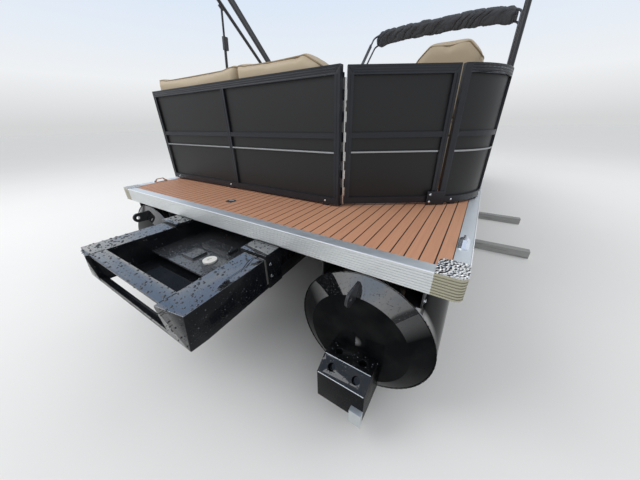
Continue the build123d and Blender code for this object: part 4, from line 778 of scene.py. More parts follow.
def tube(path: np.ndarray, radius: np.ndarray | float, sides: int, closed: bool = False) -> Shape:
    """Round tube along a path: each ring lies in the plane square to the path's tangent.

    Args:
        path: places along the middle, one row each.
        radius: one radius, or one for each place.
        sides: places round each ring.
        closed: whether the path joins up with itself.

    Returns:
        Vertices and quads. An open tube's ends are closed by a ring drawn in to a point.
    """
    path = np.asarray(path, float)
    if closed:
        ahead, behind = np.roll(path, -1, axis=0), np.roll(path, 1, axis=0)
    else:
        ahead, behind = np.vstack((path[1:], path[-1:])), np.vstack((path[:1], path[:-1]))
    tangent = ahead - behind
    tangent /= np.linalg.norm(tangent, axis=1, keepdims=True)
    guide = np.where(np.abs(tangent[:, 2:3]) > 0.92, (1.0, 0.0, 0.0), (0.0, 0.0, 1.0))
    side = np.cross(tangent, guide)
    side /= np.linalg.norm(side, axis=1, keepdims=True)
    up = np.cross(side, tangent)
    angle = np.linspace(0, 2 * np.pi, sides, endpoint=False)[None, :, None]
    wide = np.broadcast_to(np.asarray(radius, float), (len(path),))[:, None, None]
    rings = path[:, None] + wide * (np.cos(angle) * side[:, None] + np.sin(angle) * up[:, None])
    if not closed:
        rings = np.concatenate((np.repeat(path[:1, None], sides, axis=1), rings,
                                np.repeat(path[-1:, None], sides, axis=1)))
    return rings.reshape(-1, 3), grid_faces(len(rings), sides, wrap_rows=closed, wrap_columns=True)


def evenly(ring: np.ndarray, count: int) -> np.ndarray:
    """Closed line with its places moved along it until they are as far apart as each other.

    Args:
        ring: places in order, without the first one again.
        count: how many places the new line has.

    Returns:
        The new places.
    """
    closed = np.vstack((ring, ring[:1]))
    walked = np.concatenate(([0.0], np.cumsum(np.linalg.norm(np.diff(closed, axis=0), axis=1))))
    stops = np.linspace(0.0, walked[-1], count, endpoint=False)
    return np.stack([np.interp(stops, walked, closed[:, axis]) for axis in range(3)], axis=1)


def smoothed(ring: np.ndarray, passes: int) -> np.ndarray:
    """Closed line whose places go half the way to the mean of their neighbours, time after time.

    Args:
        ring: its places, without the first one again.
        passes: how many times they go.

    Returns:
        The new places.
    """
    for _ in range(passes):
        ring = 0.25 * np.roll(ring, 1, 0) + 0.5 * ring + 0.25 * np.roll(ring, -1, 0)
    return ring


def joined(parts: Sequence[Shape]) -> Shape:
    """Several meshes of quads as one, with the corner numbers of each moved on.

    Args:
        parts: vertices and quads of each.

    Returns:
        Vertices and quads of all.
    """
    starts = np.cumsum([0] + [len(vertices) for vertices, _ in parts[:-1]])
    vertices = np.concatenate([vertices for vertices, _ in parts])
    return vertices, np.concatenate([faces + start for (_, faces), start in zip(parts, starts)])


def turned(profile: Sequence[tuple[float, float]], sides: int = 12) -> Shape:
    """Solid of revolution about Z: each point of the profile is a radius and a height.

    Args:
        profile: radii and heights from the foot to the top; the ends are on the axis.
        sides: places round each ring.

    Returns:
        Vertices and quads.
    """
    radius, height = np.asarray(profile, float).T
    angle = np.linspace(0, 2 * np.pi, sides, endpoint=False)
    rings = np.stack((radius[:, None] * np.cos(angle), radius[:, None] * np.sin(angle),
                      np.broadcast_to(height[:, None], (len(radius), sides))), axis=-1)
    return rings.reshape(-1, 3), grid_faces(len(radius), sides, wrap_columns=True)


def placed(shape: Shape, places: np.ndarray, axes: np.ndarray | Point) -> Shape:
    """Copies of a small shape, its Z turned to each place's axis, as one mesh from arrays.

    Args:
        shape: vertices and quads about the origin.
        places: where the copies stand, one row each.
        axes: the direction of each copy's Z, one row each.

    Returns:
        Vertices and quads of all copies.
    """
    vertices, faces = shape
    places = np.atleast_2d(np.asarray(places, float))
    axes = np.broadcast_to(np.asarray(axes, float), places.shape)
    axes = axes / np.linalg.norm(axes, axis=1, keepdims=True)
    guide = np.where(np.abs(axes[:, 2:3]) > 0.9, (1.0, 0.0, 0.0), (0.0, 0.0, 1.0))
    side = np.cross(guide, axes)
    side /= np.linalg.norm(side, axis=1, keepdims=True)
    turn = np.stack((side, np.cross(axes, side), axes), axis=2)
    everywhere = places[:, None] + np.einsum("nij,vj->nvi", turn, vertices)
    moved = faces[None] + len(vertices) * np.arange(len(places))[:, None, None]
    return everywhere.reshape(-1, 3), moved.reshape(-1, faces.shape[1])


def bolt(radius: float, height: float) -> Shape:
    """Domed screw head with a shallow socket in its top.

    Args:
        radius: the head's radius.
        height: its height.

    Returns:
        Vertices and quads.
    """
    return turned((
        (0.0, -0.001), (radius, -0.001), (radius, 0.45 * height), (0.8 * radius, 0.85 * height),
        (0.45 * radius, height), (0.36 * radius, 0.55 * height), (0.0, 0.55 * height),
    ))


def swept(profile: np.ndarray, path: np.ndarray, side: np.ndarray | Point, up: np.ndarray | Point) -> Shape:
    """Bar whose flat profile is carried along a path and closed at both ends.

    A corner's place is the path's place, plus the profile's first number along the side
    direction, plus its second along the up direction.

    Args:
        profile: corners of the profile in order, one row each.
        path: places along the bar, one row each.
        side: direction of the profile's first axis, one for all or one for each place.
        up: direction of its second axis, likewise.

    Returns:
        Vertices and quads.
    """
    path = np.asarray(path, float)
    side = np.broadcast_to(np.asarray(side, float), path.shape)
    up = np.broadcast_to(np.asarray(up, float), path.shape)
    flat = np.asarray(profile, float)
    rings = path[:, None] + flat[None, :, :1] * side[:, None] + flat[None, :, 1:] * up[:, None]
    middle = rings.mean(axis=1, keepdims=True)
    ends = [np.repeat(middle[k:k + 1 or None], len(flat), axis=1) for k in (0, -1)]
    rings = np.concatenate((ends[0], rings, ends[1]))
    return rings.reshape(-1, 3), grid_faces(len(rings), len(flat), wrap_columns=True)


def bar_profile(low: Sequence[float], high: Sequence[float], ease: float) -> np.ndarray:
    """Rectangle with cut corners, in order round its outline.

    Args:
        low: its lower left corner.
        high: its upper right corner.
        ease: how much each corner loses.

    Returns:
        Eight places, one row each.
    """
    (left, bottom), (right, top) = low, high
    return np.array((
        (left + ease, bottom), (right - ease, bottom), (right, bottom + ease), (right, top - ease),
        (right - ease, top), (left + ease, top), (left, top - ease), (left, bottom + ease),
    ))


def outward(piece: bpy.types.Object) -> None:
    """Merges doubles and points every face of a closed mesh outwards.

    Args:
        piece: the mesh's object.
    """
    cage = bmesh.new()
    cage.from_mesh(piece.data)
    bmesh.ops.remove_doubles(cage, verts=cage.verts, dist=1e-6)
    bmesh.ops.recalc_face_normals(cage, faces=cage.faces)
    cage.to_mesh(piece.data)
    cage.free()


def fitted(name: str, shapes: Sequence[Shape], finish_name: str, body: str) -> bpy.types.Object:
    """Joins shapes to one rigid piece, with its finish, body and slot.

    Args:
        name: the piece's name.
        shapes: vertices and quads of each shape.
        finish_name: the finish that it gets.
        body: the body that it rides on.

    Returns:
        The piece.
    """
    piece = piece_from(name, *joined(list(shapes)))
    outward(piece)
    piece.data.set_sharp_from_angle(angle=math.radians(35))
    finish(piece, finish_name)
    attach(piece, body)
    return piece


def spread(piece: bpy.types.Object, name: str, grid: np.ndarray) -> None:
    """Gives a piece a UV map.

    Args:
        piece: the piece.
        name: the map's name.
        grid: U and V of each place of its mesh, in the places' order.
    """
    layer = piece.data.uv_layers.new(name=name)
    corner = np.empty(len(piece.data.loops), int)
    piece.data.loops.foreach_get("vertex_index", corner)
    layer.data.foreach_set("uv", grid.reshape(-1, 2)[corner].ravel())


def places_of(mesh: bpy.types.Mesh) -> np.ndarray:
    """Places of a mesh.

    Args:
        mesh: the mesh.

    Returns:
        Its places, one row each.
    """
    flat = np.empty(len(mesh.vertices) * 3)
    mesh.vertices.foreach_get("co", flat)
    return flat.reshape(-1, 3)


def lattice(first: np.ndarray, second: np.ndarray, turns: int, seed: int) -> np.ndarray:
    """Smooth random field between 0 and 1.

    Random numbers stand on the corners of a grid of unit cells, and between them the value
    is their smooth-step mean. The second coordinate repeats after a whole number of cells.

    Args:
        first: coordinate that never repeats, in cells.
        second: coordinate that repeats, in cells.
        turns: cells after which it repeats.
        seed: the random numbers' seed.

    Returns:
        The field, in the coordinates' shape.
    """
    cells = 512
    grid = np.random.default_rng(seed).random((cells, turns))
    row, column = np.floor(first).astype(int), np.floor(second).astype(int)
    down, across = first - row, second - column
    down, across = down * down * (3 - 2 * down), across * across * (3 - 2 * across)
    left, right = column % turns, (column + 1) % turns
    near, far = (grid[one, left] * (1 - across) + grid[one, right] * across
                 for one in (row % cells, (row + 1) % cells))
    return near * (1 - down) + far * down


# Rigid pieces


@dataclass(frozen=True)
class Eased:
    """Copy of a rigid node whose sharp edges are eased or whose rails stand higher.

    Attributes:
        node: the node's name.
        slot: the record's material slot; not used.
        width: the eased edges' width, or 0 to leave them sharp.
        body: the body that it rides on.
        lift: lowest and highest place over the deck of what is raised, and by how much.
    """

    node: str
    slot: str
    width: float = 0.0
    body: str = "hull"
    lift: tuple[float, float, float] | None = None

    def build(self) -> bpy.types.Object:
        """Merges a copy of the node, raises what is to be raised and eases its edges.

        Returns:
            The piece.
        """
        mesh = bpy.data.objects[self.node].data.copy()
        cage = bmesh.new()
        cage.from_mesh(mesh)
        bmesh.ops.remove_doubles(cage, verts=cage.verts, dist=MERGE)
        if self.width:
            flat = math.radians(0.5)
            bmesh.ops.dissolve_limit(cage, angle_limit=flat, verts=cage.verts, edges=cage.edges)
        cage.to_mesh(mesh)
        cage.free()
        if self.lift is not None:
            low, high, rise = self.lift
            place = places_of(mesh)
            above = place[:, 2] - BOAT.deck
            place[:, 2] += np.where((above > low) & (above < high), rise, 0.0)
            mesh.vertices.foreach_set("co", place.ravel())
            mesh.update()
        mesh.polygons.foreach_set("use_smooth", np.full(len(mesh.polygons), True))
        piece = bpy.data.objects.new(self.node + "_eased", mesh)
        bpy.context.scene.collection.objects.link(piece)
        if self.width:
            ease = piece.modifiers.new("Ease", "BEVEL")
            ease.width = self.width
            ease.segments = 2
            ease.limit_method = "ANGLE"
            ease.angle_limit = SHARP
            ease.harden_normals = True
        else:
            mesh.set_sharp_from_angle(angle=SHARP)
            piece.modifiers.new("Weight", "WEIGHTED_NORMAL").keep_sharp = True
        finish(piece, NODE_FINISH[self.node])
        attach(piece, self.body)
        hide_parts(self.node)
        LOG.info("%s: copy with eased edges or raised rails", piece.name)
        return piece


EASED = (
    Eased("motor_pod", "pod_black", 0.0025),
    Eased("stern_boxes", "pod_black", 0.002),
    Eased("ground_beams", "grey_beam", 0.004),
    Eased("helm_console", "console_shell", 0.006),
    Eased("lounge_bases", "base_shell", 0.005),
    Eased("fence_frames", "fence_black", lift=RAIL_LIFT),
    Eased("corner_frames", "fence_black", lift=RAIL_LIFT),
    Eased("stern_gate_frame", "fence_black", body="stern_gate", lift=RAIL_LIFT),
    Eased("bow_gate_frame", "fence_black", body="bow_gate", lift=RAIL_LIFT),
    Eased("side_gate_frame", "fence_black", body="side_gate", lift=RAIL_LIFT),
)


@dataclass(frozen=True)
class Run:
    """Straight run of the fence or a gate, from its start along its heading.

    Attributes:
        start: place of its mid-plane's start: x and along.
        heading: its direction in degrees from starboard, turning to the bow.
        length: its length.
        bays: bays between its posts.
        body: the body that carries it.
    """

    start: tuple[float, float]
    heading: float
    length: float
    bays: int
    body: str = "hull"

    def axes(self) -> tuple[np.ndarray, np.ndarray]:
        """Directions along the run and out of the boat.

        Returns:
            The two directions.
        """
        turn = math.radians(self.heading)
        ahead = np.array((math.cos(turn), math.sin(turn), 0.0))
        return ahead, np.cross(ahead, (0.0, 0.0, 1.0))

    def place(self, along: float, out: float, above: float) -> np.ndarray:
        """Place from the distance along the run, out of its mid-plane and over the deck."""
        heading, outside = self.axes()
        return BOAT.at(self.start[0], self.start[1], above) + heading * along + outside * out

    def posts(self) -> np.ndarray:
        """Middle of each post, along the run."""
        return np.linspace(BOAT.stile / 2, self.length - BOAT.stile / 2, self.bays + 1)


@dataclass(frozen=True)
class Bend:
    """Curved corner panel of the fence.

    Attributes:
        middle: middle of its curve: x and along.
        first: angle of its start in degrees from starboard, turning to the bow.
        last: angle of its end.
        radius: radius of its mid-line.
    """

    middle: tuple[float, float]
    first: float
    last: float
    radius: float = 0.437

    def spots(self, inset: float, count: int) -> tuple[np.ndarray, np.ndarray]:
        """Places spread evenly along its mid-line at the deck's height.

        Args:
            inset: how far from its ends they stop.
            count: how many there are.

        Returns:
            The places and the directions out of the boat there, one row each.
        """
        trim = math.degrees(inset / self.radius)
        angle = np.radians(np.linspace(self.first + trim, self.last - trim, count))
        outside = np.stack((np.cos(angle), np.sin(angle), np.zeros_like(angle)), axis=1)
        return BOAT.at(*self.middle, 0) + self.radius * outside, outside


def gate_run(pin: tuple[float, float], heading: float, length: float, body: str) -> Run:
    """Run of a gate's frame, whose mid-plane lies half its depth inboard of its pin.

    Args:
        pin: place of the hinge pin: x and along.
        heading: direction of the closed gate.
        length: from the pin to its free end.
        body: the gate's body.

    Returns:
        The run.
    """
    turn = math.radians(heading)
    gap = 0.01
    start = (
        pin[0] + gap * math.cos(turn) - 0.5 * BOAT.fence_depth * math.sin(turn),
        pin[1] + gap * math.sin(turn) + 0.5 * BOAT.fence_depth * math.cos(turn),
    )
    return Run(start, heading, length - gap, 1, body)


@dataclass
class FenceTrim:
    """Bright strips on the panels, and the screws of the fence's feet."""

    low: float = 0.3087
    high: float = 0.3173
    inner: float = 0.0135
    outer: float = 0.0153
    ease: float = 0.0005
    screw_above: float = 0.031
    screw_radius: float = 0.0065
    screw_height: float = 0.004
    foot_inset: float = 0.075
    runs: tuple[Run, ...] = (
        # start, heading, length, bays: stern, starboard, bow, port forward, port aft
        Run((-1.261, 0.466), 0, 1.806, 2),
        Run((1.245, 1.185), 90, 4.658, 5),
        Run((0.808, 6.28), 180, 0.448, 1),
        Run((-0.36, 6.28), 180, 0.448, 1),
        Run((-1.245, 5.843), 270, 1.973, 2),
        Run((-1.245, 3.2), 270, 2.718, 3),
    )
    bends: tuple[Bend, ...] = (
        # stern corner, then the bow's starboard and port corners
        Bend((0.808, 1.185), -57, 0), Bend((0.808, 5.843), 0, 90), Bend((-0.808, 5.843), 90, 180),
    )
    gates: tuple[Run, ...] = (
        gate_run((0.555, 0.490), 33, 0.565, "stern_gate"),
        gate_run((0.35, 6.28), 180, 0.69, "bow_gate"),
        gate_run((-1.245, 3.86), 270, 0.64, "side_gate"),
    )

    def strip(self, path: np.ndarray, outside: np.ndarray) -> Shape:
        """Bright strip along a path, at its height on the panel."""
        profile = bar_profile((self.inner, self.low), (self.outer, self.high), self.ease)
        return swept(profile, path, outside, (0, 0, 1))

    def run_strips(self, run: Run) -> list[Shape]:
        """Bright strips of a run, one in each bay, ending at its posts.

        Args:
            run: the run.

        Returns:
            Vertices and quads of each strip.
        """
        posts = run.posts()
        shapes = []
        for near, far in zip(posts[:-1], posts[1:]):
            ends = [run.place(spot, 0, 0) for spot in (near + BOAT.stile / 2, far - BOAT.stile / 2)]
            shapes.append(self.strip(np.array(ends), run.axes()[1]))
        return shapes

    def screws(self, places: np.ndarray, outside: np.ndarray) -> Shape:
        """Domed screws on the bottom rail, from places of its mid-line at the deck's height."""
        lifted = places + np.array((0, 0, self.screw_above)) + BOAT.fence_depth / 2 * outside
        return placed(bolt(self.screw_radius, self.screw_height), lifted, outside)

    def run_screws(self, run: Run) -> Shape:
        """Screws over the feet of a run.

        Args:
            run: the run.

        Returns:
            Vertices and quads of all.
        """
        posts = run.posts()
        spots = posts + np.where(posts < run.length / 2, self.foot_inset, -self.foot_inset)
        return self.screws(np.array([run.place(spot, 0, 0) for spot in spots]), run.axes()[1])

    def build(self) -> None:
        """Makes the hull's strips and screws, and each gate's own."""
        strips = [shape for run in self.runs for shape in self.run_strips(run)]
        strips += [self.strip(*bend.spots(BOAT.stile, 28)) for bend in self.bends]
        fitted("fence_strips", strips, "strip_aluminium", "hull")
        screws = [self.run_screws(run) for run in self.runs]
        screws += [self.screws(*bend.spots(self.foot_inset, 2)) for bend in self.bends]
        fitted("fence_foot_screws", screws, "polished_steel", "hull")
        for gate in self.gates:
            name, strips = gate.body + "_strip", self.run_strips(gate)
            fitted(name, strips, "strip_aluminium", gate.body)
        self.keeper(self.gates[0])

    def keeper(self, gate: Run) -> None:
        """Foot plate at the stern gate's free end, on a spacer, which laps the corner's stile.

        Args:
            gate: the stern gate's run.
        """
        outside = gate.axes()[1]
        half = BOAT.fence_depth / 2
        plate = bar_profile((half + 0.0088, 0.004), (half + 0.0185, 0.084), 0.003)
        spacer = bar_profile((half - 0.001, 0.012), (half + 0.009, 0.076), 0.001)
        plate_ends = np.array([gate.place(gate.length + spot, 0, 0) for spot in (-0.052, 0.056)])
        spacer_ends = np.array([gate.place(gate.length + spot, 0, 0) for spot in (-0.046, -0.006)])
        shapes = [
            swept(profile, ends, outside, (0, 0, 1))
            for profile, ends in ((plate, plate_ends), (spacer, spacer_ends))
        ]
        fitted("stern_gate_foot_plate", shapes, "fence_satin", gate.body)
        places = np.array([gate.place(gate.length + spot, half + 0.0185, above)
                           for spot, above in ((-0.036, 0.022), (-0.036, 0.066))])
        fitted("stern_gate_foot_screws", [placed(bolt(0.007, 0.004), places, outside)],
               "polished_steel", gate.body)


@dataclass
class RiserBolts:
    """Hexagon heads that hold the risers to the cross-members."""

    offset: float = 0.23
    web: float = 0.006
    start: float = 0.075
    pitch: float = 0.405
    count: int = 15
    aboves: tuple[float, ...] = (-0.128, -0.185)

    def head(self) -> Shape:
        """Hexagon head on a washer.

        Returns:
            Vertices and faces, standing on the ground.
        """
        return joined([
            turned(((0.0, -0.0005), (0.0125, -0.0005), (0.0125, 0.0015), (0.0, 0.0015)), 16),
            turned(((0.0, 0.001), (0.0082, 0.001), (0.0092, 0.0025), (0.0092, 0.0068), (0.0078, 0.008),
                    (0.0, 0.008)), 6),
        ])

    def build(self) -> None:
        """Sets the heads on both webs of each tube, facing away from the tube's middle."""
        spots = self.start + self.pitch * np.arange(self.count)
        shapes = []
        for side in (-1, 1):
            for way in (-1, 1):
                x = side * BOAT.tube_spread + way * (self.offset + self.web / 2)
                places = np.array([BOAT.at(x, spot, above) for spot in spots for above in self.aboves])
                shapes.append(placed(self.head(), places, (way, 0, 0)))
        fitted("riser_bolts", shapes, "polished_steel", "hull")


@dataclass
class Welds:
    """Weld beads round the tubes' stern caps and nose joints.

    Attributes:
        bead: a bead's mean radius.
        swell: how much of that its waves add and take.
        waves: waves round a tube.
        sunk: how deep its middle lies in the tube's wall.
        cap: place of the stern cap's bead, along the boat.
        nose: place of the nose joint's bead.
    """

    bead: float = 0.0035
    swell: float = 0.12
    waves: int = 75
    sunk: float = 0.0008
    cap: float = 0.010
    nose: float = 5.9

    def ring(self, x: float, along: float) -> Shape:
        """Bead round a tube, whose thickness swells and shrinks as the arc was moved on.

        Args:
            x: the tube's middle.
            along: the bead's place.

        Returns:
            Vertices and quads.
        """
        angle = np.linspace(0, 2 * np.pi, 300, endpoint=False)
        radius = BOAT.tube_radius - self.sunk
        path = np.stack((radius * np.cos(angle), np.zeros_like(angle), radius * np.sin(angle)), axis=1)
        thick = self.bead * (1 + self.swell * np.sin(self.waves * angle))
        return tube(path + BOAT.at(x, along, -BOAT.tube_drop), thick, 8, closed=True)

    def build(self) -> None:
        """Makes the beads of both tubes as one piece."""
        shapes = [
            self.ring(side * BOAT.tube_spread, along) for side in (-1, 1) for along in (self.cap, self.nose)
        ]
        fitted("tube_weld_beads", shapes, "tube_gloss", "hull")


@dataclass
class EdgeHighlights:
    """Painted highlights: thin bright rods along the lip round the deck and along the folds of the stern
    boxes, which stand in for the glints on those edges.
    """

    lip: float = 0.0026
    lip_above: float = -0.001
    inset: float = 0.0018
    corner: float = 0.105
    rings: int = 9
    fold: float = 0.0022
    box: tuple[float, float] = (0.808, 1.032)
    folds: tuple[tuple[float, float], ...] = ((-0.1290, -0.5012), (-0.1988, -0.5512))

    def build(self) -> None:
        """Makes the painted highlight rods: the lip's four runs and the boxes' folds."""
        half = BOAT.half_width - self.corner
        runs = [
            [BOAT.at(x, along, self.lip_above) for x in (-half, half)]
            for along in (self.inset, BOAT.length - self.inset)
        ]
        runs += [
            [BOAT.at(x, along, self.lip_above) for along in (self.corner, BOAT.length - self.corner)]
            for x in (self.inset - BOAT.half_width, BOAT.half_width - self.inset)
        ]
        # painted highlight: near-white rods on the deck's edge stand in for its glint
        fitted("deck_edge_lip_highlight", [self.line(run, self.lip) for run in runs],
               "lip_highlight_aluminium", "hull")
        # painted highlight: mill aluminium rods along the boxes' folds stand in for glints on their gloss
        # black edges
        folds = [
            [BOAT.at(way * x, along, above) for x in self.box]
            for way in (-1, 1) for along, above in self.folds
        ]
        fitted("stern_box_fold_highlights", [self.line(ends, self.fold) for ends in folds],
               "mill_aluminium", "hull")

    def line(self, ends: Sequence[np.ndarray], radius: float) -> Shape:
        """Thin round line between two places."""
        return tube(np.linspace(*ends, self.rings), radius, 8)


@dataclass
class PodFittings:
    """Grey plates on the outer sides of the pod's arms, and the seams of its crosspiece."""

    span: tuple[float, float] = (-0.118, -0.05)
    heights: tuple[float, float] = (-0.25, -0.113)
    middle: float = 0.4543
    flare: float = 0.0679
    thickness: float = 0.004
    seam: tuple[float, float] = (-0.534, -0.468)
    seam_x: float = 0.342
    top: float = -0.112

    def build(self) -> None:
        """Makes both plates with their bolts, and both seams."""
        plates, bolts = [], []
        profile = bar_profile((-0.001, self.heights[0]), (self.thickness, self.heights[1]), 0.0012)
        for way in (-1, 1):
            spots = np.linspace(*self.span, 5)
            path = np.array([BOAT.at(way * (self.middle - self.flare * spot), spot, 0) for spot in spots])
            plates.append(swept(profile, path, (way, 0, 0), (0, 0, 1)))
            places = [path[2] + np.array((way * self.thickness, 0, above)) for above in (-0.215, -0.148)]
            bolts.append(placed(bolt(0.009, 0.006), np.array(places), (way, 0, 0)))
        fitted("pod_gusset_plates", plates, "gusset_grey", "hull")
        fitted("pod_gusset_bolts", bolts, "polished_steel", "hull")
        groove = bar_profile((-0.0025, -0.001), (0.0025, 0.0009), 0.0004)
        seams = []
        for way in (-1, 1):
            ends = np.array([BOAT.at(way * self.seam_x, spot, self.top) for spot in self.seam])
            seams.append(swept(groove, ends, (1, 0, 0), (0, 0, 1)))
        fitted("pod_seams", seams, "grip_black", "hull")


@dataclass(frozen=True)
class DropBed:
    """Where rain lies on a node, and how much of it.

    Attributes:
        node: the node that carries the drops.
        count: how many drops.
        upward: least and most upward part of the surface's normal.
        size: smallest and largest radius.
        reach: farthest place forward of the deck's stern edge.
        lowest: lowest place, over the deck.
    """

    node: str
    count: int
    upward: tuple[float, float]
    size: tuple[float, float]
    reach: float = 9.0
    lowest: float = -1.0


@dataclass
class Rain:
    """Rain drops on the pod, the boxes and the stern caps."""

    beds: tuple[DropBed, ...] = (
        DropBed("motor_pod", 760, (0.9, 1.1), (0.0014, 0.0078), 0.0, -0.14),
        DropBed("motor_pod", 420, (-0.3, 0.4), (0.0014, 0.004), -0.02),
        DropBed("pod_tray", 420, (0.9, 1.1), (0.0018, 0.007), 0.0),
        DropBed("stern_boxes", 300, (0.35, 1.1), (0.0014, 0.0045)),
        DropBed("starboard_pontoon", 520, (0.3, 0.95), (0.0009, 0.0024), 0.008),
        DropBed("port_pontoon", 420, (0.3, 0.95), (0.0009, 0.0024), 0.008),
    )

    def drop(self) -> Shape:
        """Flattened drop of radius 1: a low dome on a flat foot."""
        return turned(((0.0, -0.06), (0.97, -0.06), (1.0, 0.12), (0.72, 0.38), (0.0, 0.5)), 8)

    def bed(self, bed: DropBed, seed: int) -> Shape:
        """Scatters drops over a node's triangles by their area.

        A drop's place is A + s (B - A) + t (C - A) with s + t below 1.

        Args:
            bed: the bed.
            seed: the random numbers' seed.

        Returns:
            Vertices and quads of its drops.
        """
        mesh = bpy.data.objects[bed.node].data
        mesh.calc_loop_triangles()
        corner = np.empty(len(mesh.loop_triangles) * 3, int)
        mesh.loop_triangles.foreach_get("vertices", corner)
        ends = places_of(mesh)[corner.reshape(-1, 3)]
        normal = np.cross(ends[:, 1] - ends[:, 0], ends[:, 2] - ends[:, 0])
        area = np.linalg.norm(normal, axis=1)
        up = normal[:, 2] / np.maximum(area, 1e-12)
        middle = ends.mean(axis=1)
        chosen = (up > bed.upward[0]) & (up < bed.upward[1]) & (middle[:, 1] < BOAT.stern + bed.reach)
        chosen &= middle[:, 2] > BOAT.deck + bed.lowest
        weight = np.where(chosen, area, 0)
        draw = np.random.default_rng(seed)
        pick = draw.choice(len(ends), bed.count, p=weight / weight.sum())
        share = draw.random((bed.count, 2))
        share = np.where(share.sum(1, keepdims=True) > 1, 1 - share, share)
        first, second = (ends[pick, k] - ends[pick, 0] for k in (1, 2))
        spot = ends[pick, 0] + share[:, :1] * first + share[:, 1:] * second
        size = bed.size[0] + (bed.size[1] - bed.size[0]) * draw.random(bed.count) ** 3
        vertices, faces = placed(self.drop(), np.zeros((bed.count, 3)), normal[pick])
        each = len(vertices) // bed.count
        return vertices * np.repeat(size, each)[:, None] + np.repeat(spot, each, axis=0), faces

    def build(self) -> None:
        """Makes one piece of drops for each bed."""
        for seed, bed in enumerate(self.beds, start=3):
            piece = piece_from(f"rain_{bed.node}_{seed}", *self.bed(bed, seed))
            outward(piece)
            finish(piece, "rain_water")
            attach(piece, "hull")


@dataclass
class Dash:
    """Gauges and switches on the helm's dash."""

    x: float = 0.82
    along: float = 3.17
    run: float = 0.13
    low: float = 0.62
    high: float = 0.845
    gauges: tuple[tuple[float, float, float], ...] = (
        # across from the wheel, share up the dash, radius
        (-0.235, 0.66, 0.036), (0.235, 0.66, 0.036), (-0.235, 0.24, 0.026),
    )
    switches: int = 5
    switch_x: float = 0.19
    switch_pitch: float = 0.026
    switch_share: float = 0.22
    rocker: tuple[float, float] = (0.009, 0.014)

    def frame(self, across: float, share: float) -> np.ndarray:
        """Place on the dash, from the distance across and the share of the way up."""
        rise = share * (self.high - self.low)
        return BOAT.at(self.x + across, self.along + share * self.run, self.low + rise)

    def axes(self) -> tuple[np.ndarray, np.ndarray]:
        """Directions out of the dash and up along it.

        Returns:
            The two directions.
        """
        rise = self.high - self.low
        reach = math.hypot(rise, self.run)
        return np.array((0.0, -rise, self.run)) / reach, np.array((0.0, self.run, rise)) / reach

    def bezel(self, radius: float) -> Shape:
        """Ring round a gauge: outer wall, rounded crown and inner wall.

        Args:
            radius: the gauge's radius.

        Returns:
            Vertices and quads.
        """
        profile = (
            (0.0, -0.001), (0.005, -0.001), (0.005, 0.004), (0.002, 0.0075), (-0.001, 0.005), (-0.001, 0.001),
            (0.0, -0.001),
        )
        return turned([(radius + out, height) for out, height in profile], 40)

    def dial(self, name: str, spot: np.ndarray, radius: float) -> None:
        """Makes a gauge's face: rings about its middle, stepped down at the rim and closed behind.

        Args:
            name: the piece's name.
            spot: its place on the dash.
            radius: its radius.
        """
        normal, up = self.axes()
        out = np.array((0.0, 0.5, 0.8, 1.0, 1.0, 0.0))
        height = np.array((0.0035, 0.0035, 0.0035, 0.003, -0.0005, -0.0005))
        angle = np.linspace(0, 2 * np.pi, 37)
        side = np.cross(up, normal)
        ring = np.cos(angle)[None, :, None] * side + np.sin(angle)[None, :, None] * up
        surface = spot + radius * out[:, None, None] * ring + height[:, None, None] * normal
        face = piece_from(name, surface.reshape(-1, 3), grid_faces(len(out), len(angle)))
        spread(face, "dial", np.stack(np.meshgrid(angle / (2 * np.pi), out), axis=-1))
        outward(face)
        finish(face, "dial_face")
        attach(face, "hull")

    def build(self) -> None:
        """Makes bezels, dial faces and rocker switches."""
        normal, up = self.axes()
        bezels = [placed(self.bezel(radius), self.frame(across, share), normal)
                  for across, share, radius in self.gauges]
        fitted("dash_bezels", bezels, "polished_steel", "hull")
        for index, (across, share, radius) in enumerate(self.gauges, start=1):
            self.dial(f"dash_dial_{index}", self.frame(across, share), radius)
        profile = bar_profile((-self.rocker[0], -0.001), (self.rocker[0], 0.005), 0.002)
        rockers = []
        for index in range(self.switches):
            spot = self.frame(self.switch_x + self.switch_pitch * index, self.switch_share)
            path = spot + np.array((-1, 0, 1))[:, None] * self.rocker[1] * up
            rockers.append(swept(profile, path, (1, 0, 0), normal))
        fitted("dash_rockers", rockers, "grip_black", "hull")


# Soft goods


